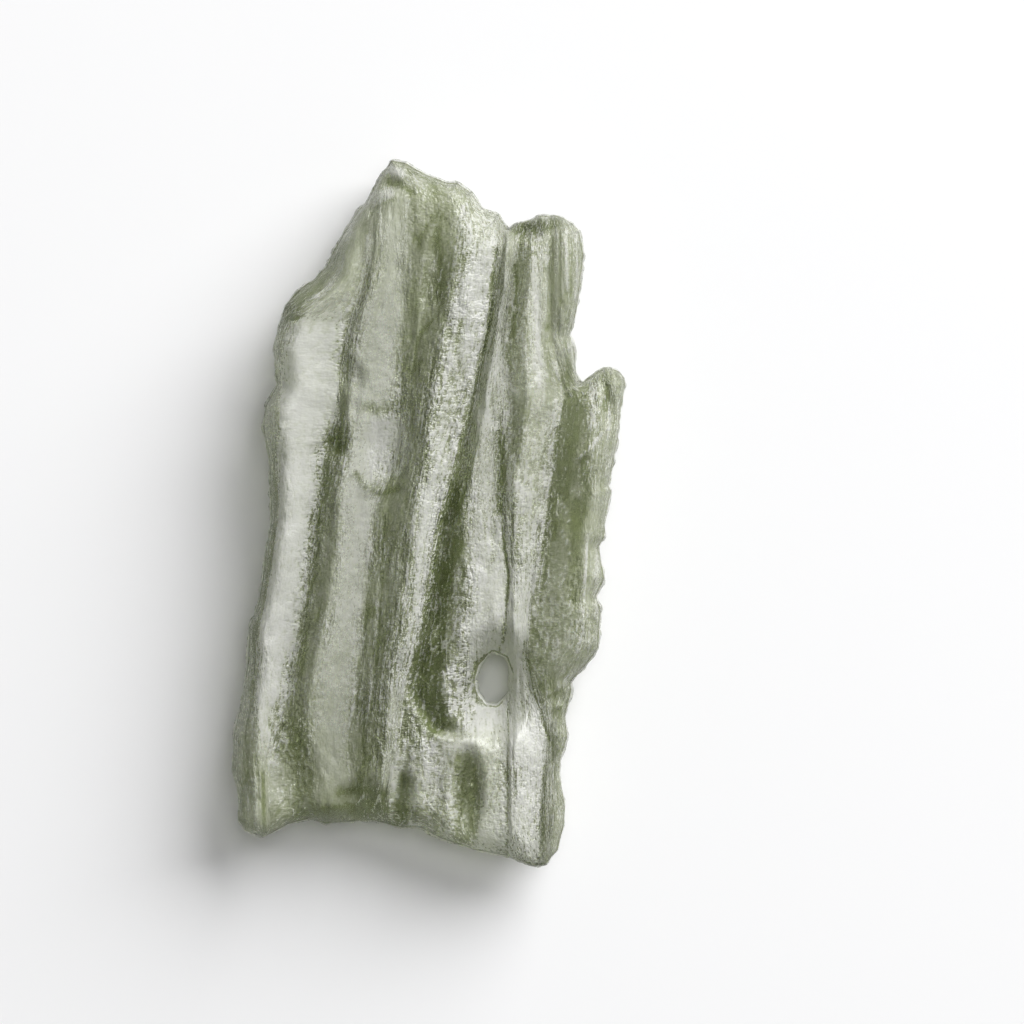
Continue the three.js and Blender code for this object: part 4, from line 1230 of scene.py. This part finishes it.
    def close(
        self, corners: Array, triangles: list[Triangle], front: Array, back: Array
    ) -> tuple[Array, list[tuple[int, ...]], Array, Array]:
        """Joins the two faces by a rounded, slightly chipped edge.

        Args:
            corners: Corners of the cells, as rows of x and y.
            triangles: The cells.
            front: Height of the front face at each corner.
            back: Height of the back face at each corner.

        Returns:
            The closed mesh's places, its faces and, for each place, the corner it stands over
            and its turn, which goes from 0 on the front over the edge to 1 on the back.
        """
        count = len(corners)
        sides = {(a, b) for loop in triangles for a, b in zip(loop, loop[1:] + loop[:1])}
        open_sides = sorted((a, b) for a, b in sides if (b, a) not in sides)
        rim = sorted({a for side in open_sides for a in side})
        order = {corner: k for k, corner in enumerate(rim)}
        rim = np.array(rim)
        x, y = corners[rim].T
        signed, ex, ey = self.edge(x, y)
        out = np.stack([ex - x, ey - y]) / signed
        chips = layered(self.chips, self.seed, x, y)
        reach = self.edge_bulge + self.chip_reach * (chips - self.chip_middle)
        middle = (front[rim] + back[rim]) / 2
        half = (front[rim] - back[rim]) / 2
        layers = [np.column_stack([corners, front]), np.column_stack([corners, back])]
        source = [np.arange(count), np.arange(count)]
        turn = [np.zeros(count), np.ones(count)]
        for step in range(1, self.edge_steps + 1):
            angle = math.pi * step / (self.edge_steps + 1)
            shift = reach * math.sin(angle) + self.edge_rough.at(self.seed + step, x, y)
            moved = np.stack([x, y]) + out * shift
            layers.append(np.column_stack([*moved, middle + half * math.cos(angle)]))
            source.append(rim)
            turn.append(np.full(len(rim), step / (self.edge_steps + 1)))
        faces: list[tuple[int, ...]] = list(triangles)
        faces += [(a + count, c + count, b + count) for a, b, c in triangles]
        for a, b in open_sides:
            upper_a, upper_b = a, b
            for step in range(self.edge_steps):
                base = 2 * count + step * len(rim)
                lower_a, lower_b = base + order[a], base + order[b]
                faces.append((upper_b, upper_a, lower_a, lower_b))
                upper_a, upper_b = lower_a, lower_b
            faces.append((upper_b, upper_a, a + count, b + count))
        return np.concatenate(layers), faces, np.concatenate(source), np.concatenate(turn)

    def into_box(self, places: Array) -> Array:
        """Fits the mesh to the box of the solid that it stands for.

        Args:
            places: The mesh's places.

        Returns:
            Their new places.
        """
        low, high = (np.array(corner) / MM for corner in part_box(NODE))
        size = places.max(axis=0) - places.min(axis=0)
        log.info("fitted to the solid's box by %s", np.round((high - low) / size, 4))
        return low + (places - places.min(axis=0)) / size * (high - low)

    def dress(self, mesh: bpy.types.Mesh, at: Surface, source: Array, turn: Array) -> None:
        """Gives the mesh its flute and edge coordinates as UV maps, its tone and smooth shading.

        Args:
            mesh: The stone's mesh.
            at: The corners of its cells.
            source: For each vertex, the corner that it stands over.
            turn: For each vertex, how far round the edge it lies.
        """
        mesh.shade_smooth()
        loop_vertex = np.zeros(len(mesh.loops), int)
        mesh.loops.foreach_get("vertex_index", loop_vertex)
        width = np.where(turn == 1.0, self.back_shoulder, self.front_shoulder)
        steep = 1.0 - self.shoulder(at.rim[source], width)
        down = self.edge_thickness * np.minimum(turn, 1.0 - turn)
        fallen = (self.side_fall * steep + down)[:, None]
        flutes = np.column_stack([at.grain, at.y])[source] + at.out[source] * fallen
        edges = np.column_stack([at.rim, at.window])[source] - self.edge_thickness * turn[:, None]
        for name, rows in ((FLUTE_MAP, flutes / MAP_SPAN + MAP_MIDDLE), (EDGE_MAP, edges / MAP_SPAN)):
            layer = mesh.uv_layers.new(name=name)
            layer.data.foreach_set("uv", rows[loop_vertex].ravel())
        rows = np.column_stack(self.tone(at))[source]
        behind = np.column_stack(self.back_tone(at))[source]
        rows = lerp(rows, behind, ease(turn)[:, None])
        rows = lerp(rows, np.array(self.side_look), self.side_pallor * ease(steep)[:, None])
        tone = mesh.color_attributes.new(TONE, "FLOAT_COLOR", "POINT")
        tone.data.foreach_set("color", np.column_stack([rows, np.ones(len(rows))]).ravel())


class Value:
    """A node's output that can be worked with like a number. Each step adds a Math node."""

    def __init__(self, tree: "Tree", socket: bpy.types.NodeSocket) -> None:
        """Holds an output.

        Args:
            tree: The tree that it lies in.
            socket: The output.
        """
        self.tree = tree
        self.socket = socket

    def __add__(self, other: object) -> "Value":
        """This plus the other."""
        return self.tree.math("ADD", self, other)

    def __sub__(self, other: object) -> "Value":
        """This minus the other."""
        return self.tree.math("SUBTRACT", self, other)

    def __rsub__(self, other: object) -> "Value":
        """The other minus this."""
        return self.tree.math("SUBTRACT", other, self)

    def __mul__(self, other: object) -> "Value":
        """This times the other."""
        return self.tree.math("MULTIPLY", self, other)

    def __truediv__(self, other: object) -> "Value":
        """This over the other."""
        return self.tree.math("DIVIDE", self, other)

    def __abs__(self) -> "Value":
        """This without its sign."""
        return self.tree.math("ABSOLUTE", self)

    def held(self) -> "Value":
        """The same, which its node now keeps between 0 and 1."""
        self.socket.node.use_clamp = True
        return self


class Tree:
    """A node tree with short calls to add and link nodes."""

    def __init__(self, tree: bpy.types.NodeTree) -> None:
        """Starts with an empty tree.

        Args:
            tree: The tree to fill.
        """
        self.tree = tree
        tree.nodes.clear()

    def add(self, kind: str, inputs: dict[str | int, object], **settings: object) -> bpy.types.Node:
        """Adds a node.

        Args:
            kind: The node's type, without the ShaderNode part.
            inputs: For each input's name or place, a Value, a node whose first output it
                takes, a number or a colour.
            **settings: Properties of the node to set.

        Returns:
            The node.
        """
        node = self.tree.nodes.new(kind if kind.startswith("Node") else "ShaderNode" + kind)
        for name, value in settings.items():
            setattr(node, name, value)
        for name, value in inputs.items():
            if isinstance(value, bpy.types.Node):
                self.tree.links.new(value.outputs[0], node.inputs[name])
            elif isinstance(value, Value):
                self.tree.links.new(value.socket, node.inputs[name])
            else:
                node.inputs[name].default_value = (*value, 1.0) if isinstance(value, tuple) else value
        return node

    def output(self, node: bpy.types.Node, name: str | int = 0) -> Value:
        """One of a node's outputs."""
        return Value(self, node.outputs[name])

    def math(self, operation: str, a: object, b: object = 0.0) -> Value:
        """Adds a Math node."""
        return self.output(self.add("Math", {0: a, 1: b}, operation=operation))

    def mix(self, factor: Value, a: object, b: object) -> Value:
        """Adds a Mix node for colours, with factor of b."""
        inputs = {MIX_FACTOR: factor, MIX_COLOURS[0]: a, MIX_COLOURS[1]: b}
        return self.output(self.add("Mix", inputs, data_type="RGBA"), MIX_COLOUR)


def new_material(name: str) -> tuple[bpy.types.Material, Tree]:
    """Makes a material.

    Args:
        name: Its name.

    Returns:
        The material and its tree, which is empty.
    """
    material = bpy.data.materials.new(name)
    material.use_nodes = True
    return material, Tree(material.node_tree)


def grain_group() -> bpy.types.NodeTree:
    """Makes the grain that lies in the glass: long streaks with specks in them.

    Returns:
        A group with Vector, Fineness, Stretch and Speck inputs. Value is the grain, from about
        -1 to 1, and Line is 1 along thin lines that wander through it.
    """
    group = bpy.data.node_groups.new("grain", "ShaderNodeTree")
    group.interface.new_socket("Vector", in_out="INPUT", socket_type="NodeSocketVector")
    for name in GRAIN_INPUTS:
        group.interface.new_socket(name, in_out="INPUT", socket_type="NodeSocketFloat")
    for name in ("Value", "Line"):
        group.interface.new_socket(name, in_out="OUTPUT", socket_type="NodeSocketFloat")
    tree = Tree(group)
    given = tree.add("NodeGroupInput", {})
    vector, fineness, stretch, speck = (tree.output(given, k) for k in range(4))
    parts = tree.add("SeparateXYZ", {0: vector})
    x, y, z = (tree.output(parts, k) for k in range(3))
    stretched = tree.add("CombineXYZ", {0: x, 1: y / stretch, 2: z})
    streaks = tree.add("TexNoise", {"Detail": NOISE_DETAIL, "Vector": stretched, "Scale": fineness})
    specks = tree.add("TexNoise", {"Detail": NOISE_DETAIL, "Vector": vector, "Scale": fineness})
    inputs = {MIX_FACTOR: speck, MIX_NUMBERS[0]: streaks, MIX_NUMBERS[1]: specks}
    grain = tree.output(tree.add("Mix", inputs, data_type="FLOAT"))
    off = abs(tree.output(streaks) - NOISE_MIDDLE) / LINE_WIDTH
    tree.add("NodeGroupOutput", {0: (grain - NOISE_MIDDLE) * GRAIN_GAIN, 1: (1.0 - off).held()})
    return group


@dataclass(frozen=True)
class EtchedGlass:
    """The stone's glass: clear where it is deep, frosted where etching has whitened it."""

    # frosted is the white of etching and also painted reflection of the lamps; dull and deep are clear green
    # glass and also painted shade
    clear: Colour = (0.63, 0.67, 0.47)
    frosted: Colour = (0.98, 0.98, 0.95)
    dull: Colour = (0.36, 0.38, 0.25)
    deep: Colour = (0.24, 0.28, 0.125)
    absorbed: Colour = (0.62, 0.69, 0.38)
    absorption: float = 140.0
    transmission: float = 0.6
    ior: float = 1.49
    clear_roughness: float = 0.16
    frosted_roughness: float = 0.36
    # The layers of grain: fineness, stretch and share of specks
    speck: Grain = (440.0, 3.0, 0.4)
    streak: Grain = (270.0, 9.0, 0.0)
    ripple: Grain = (125.0, 3.0, 0.3)
    mottle: Grain = (60.0, 3.0, 0.0)
    cracks: Grain = (75.0, 12.0, 0.0)
    threads: Grain = (105.0, 9.0, 0.0)
    # How strong they are
    patchy: float = 2.0
    line_gain: float = 1.7
    speck_gain: float = 1.8
    faint_speck: float = 0.15
    faint_mottle: float = 0.07
    grain_height: float = 0.35
    ripple_height: float = 0.9
    least_ripple: float = 0.16
    bump_distance: float = 0.00011
    # A painted highlight round the edge and a painted line of shade inside it, in millimetres
    highlight_start: float = -0.03
    highlight_end: float = 0.27
    highlight_fade: float = 0.04
    highlight_end_fade: float = 0.16
    highlight_share: float = 0.8
    window_highlight: float = 0.07
    line_at: float = 0.03
    shade_line_half: float = 0.06

    def material(self) -> bpy.types.Material:
        """Makes the material.

        Returns:
            The material.
        """
        material, tree = new_material(SLOT)
        group = grain_group()
        flutes = tree.add("UVMap", {}, uv_map=FLUTE_MAP)
        layers = [
            tree.add("Group", {"Vector": flutes, **dict(zip(GRAIN_INPUTS, layer))}, node_tree=group)
            for layer in (self.speck, self.streak, self.ripple, self.mottle, self.cracks, self.threads)
        ]
        speck, streak, ripple, mottle = (tree.output(node, "Value") for node in layers[:4])
        cracks, threads = (tree.output(node, "Line") for node in layers[4:])
        tone = tree.add("Attribute", {}, attribute_name=TONE)
        parts = tree.add("SeparateColor", {0: tree.output(tone, "Color")})
        frost, depth, specked = (tree.output(parts, k) for k in range(3))
        cracks = cracks * (mottle * self.patchy).held()
        threads = threads * (mottle * -self.patchy).held()
        lines = (threads - cracks) * self.line_gain
        # Specks and lines in the base colour: partly grain, partly painted glints
        coarse = (speck * self.speck_gain + streak + lines) * specked
        grainy = coarse + (speck * self.faint_speck + mottle * self.faint_mottle)
        # lighter holds the grain and also the painted edge highlight and painted shade line
        lighter = grainy + self.outline(tree, mottle)
        whitened = (frost + lighter).held()
        darkened = (depth - lighter).held()
        # The base colour mixes these by the tone, so the tone's painted reflection and painted shade go into
        # it
        base = tree.mix(whitened, self.clear, self.frosted)
        base = tree.mix(darkened, base, tree.mix(depth, self.dull, self.deep))
        roughness = whitened * (self.frosted_roughness - self.clear_roughness) + self.clear_roughness
        rippled = ripple * (specked * self.ripple_height + self.least_ripple)
        bump = tree.add("Bump", {
            "Strength": 1.0, "Distance": self.bump_distance,
            "Height": grainy * self.grain_height + rippled,
        })
        glass = tree.add("BsdfPrincipled", {
            "Base Color": base, "Roughness": roughness, "Normal": bump,
            "IOR": self.ior, "Transmission Weight": self.transmission,
        })
        volume = tree.add("VolumeAbsorption", {"Color": self.absorbed, "Density": self.absorption})
        tree.add("OutputMaterial", {"Surface": glass, "Volume": volume})
        return material

    def outline(self, tree: Tree, mottle: Value) -> Value:
        """Paints a highlight along the rim and the window's edge, with an uneven line of painted shade inside
        it.

        Args:
            tree: The material's tree.
            mottle: What makes both uneven.

        Returns:
            How much whiter the painted highlight makes the glass, or darker below 0 where the painted shade
            line lies.
        """
        parts = tree.add("SeparateXYZ", {0: tree.add("UVMap", {}, uv_map=EDGE_MAP)})
        window = tree.output(parts, 1) - self.window_highlight / MAP_SPAN
        near = tree.math("MINIMUM", tree.output(parts), window) * MAP_SPAN
        outer = ((self.highlight_start - near) / self.highlight_fade).held()
        inner = ((near + self.highlight_end) / self.highlight_end_fade).held()
        line = (1.0 - abs(near - self.line_at) / self.shade_line_half).held()
        return (outer * inner - line) * (mottle + self.highlight_share).held()


@dataclass(frozen=True)
class Paper:
    """The plain pale paper that the stone lies on. Sizes in metres."""

    colour: Colour = (0.86, 0.86, 0.865)
    roughness: float = 0.9
    half: float = 2.0
    gap: float = 0.00003

    def build(self) -> bpy.types.Object:
        """Lays the paper.

        Returns:
            The paper's object.
        """
        material, tree = new_material("paper")
        paper = tree.add("BsdfPrincipled", {
            "Base Color": self.colour, "Roughness": self.roughness, "Specular IOR Level": 0.0,
        })
        tree.add("OutputMaterial", {"Surface": paper})
        mesh = bpy.data.meshes.new("paper")
        corners = [(x * self.half, y * self.half, -self.gap) for x, y in ((-1, -1), (1, -1), (1, 1), (-1, 1))]
        mesh.from_pydata(corners, [], [(0, 1, 2, 3)])
        mesh.materials.append(material)
        return place("paper", mesh)


@dataclass
class Studio:
    """Light and camera. Sizes in metres."""

    frame_width: float = 0.0512
    camera_height: float = 0.36
    focus_height: float = 0.00235
    aim: Point = (0.00415, 0.00006)
    clip: Point = (0.01, 10.0)
    light_distance: float = 1.0
    light_azimuth: float = 48.0
    key_elevation: float = 27.0
    key_radius: float = 0.5
    key_power: float = 20.4
    top_elevation: float = 80.0
    top_radius: float = 0.27
    top_power: float = 2.1
    sky: Colour = (1.0, 1.0, 1.0)
    sky_strength: float = 0.17

    def soft_light(self, name: str, elevation: float, radius: float, power: float) -> None:
        """Hangs a round soft light that shines at the stone.

        Args:
            name: The light's name.
            elevation: How high it hangs, in degrees.
            radius: Its radius.
            power: Its power in watts.
        """
        azimuth = math.radians(self.light_azimuth)
        height = math.radians(elevation)
        direction = Vector((
            math.cos(azimuth) * math.cos(height),
            math.sin(azimuth) * math.cos(height),
            math.sin(height),
        ))
        data = bpy.data.lights.new(name, "AREA")
        data.shape = "DISK"
        data.size = 2 * radius
        data.energy = power
        turned = direction.to_track_quat("Z", "Y").to_matrix().to_4x4()
        place(name, data).matrix_world = Matrix.Translation(direction * self.light_distance) @ turned

    def lights(self) -> None:
        """Hangs one large light at the upper right and one overhead, and lights the room evenly."""
        self.soft_light("key", self.key_elevation, self.key_radius, self.key_power)
        self.soft_light("top", self.top_elevation, self.top_radius, self.top_power)
        world = bpy.data.worlds.new("room")
        world.use_nodes = True
        tree = Tree(world.node_tree)
        room = tree.add("Background", {"Color": self.sky, "Strength": self.sky_strength})
        tree.add("OutputWorld", {"Surface": room})
        bpy.context.scene.world = world

    def camera(self) -> None:
        """Hangs the camera straight above the stone, with a long lens."""
        data = bpy.data.cameras.new("camera")
        distance = self.camera_height - self.focus_height
        data.lens = data.sensor_width * distance / self.frame_width
        data.clip_start, data.clip_end = self.clip
        camera = place("camera", data)
        camera.location = (*self.aim, self.camera_height)
        bpy.context.scene.camera = camera


def main() -> None:
    """Builds the stone, its glass, the paper, the light and the camera."""
    logging.basicConfig(level=logging.INFO, format="%(message)s")
    bpy.context.scene.view_settings.view_transform = "Standard"
    stone = Shard().build()
    stone.data.materials.append(EtchedGlass().material())
    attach(stone, BODY)
    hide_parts(NODE)
    log.info("%s: %d vertices, %d faces", stone.name, len(stone.data.vertices), len(stone.data.polygons))
    Paper().build()
    studio = Studio()
    studio.lights()
    studio.camera()


if __name__ == "__main__":
    main()
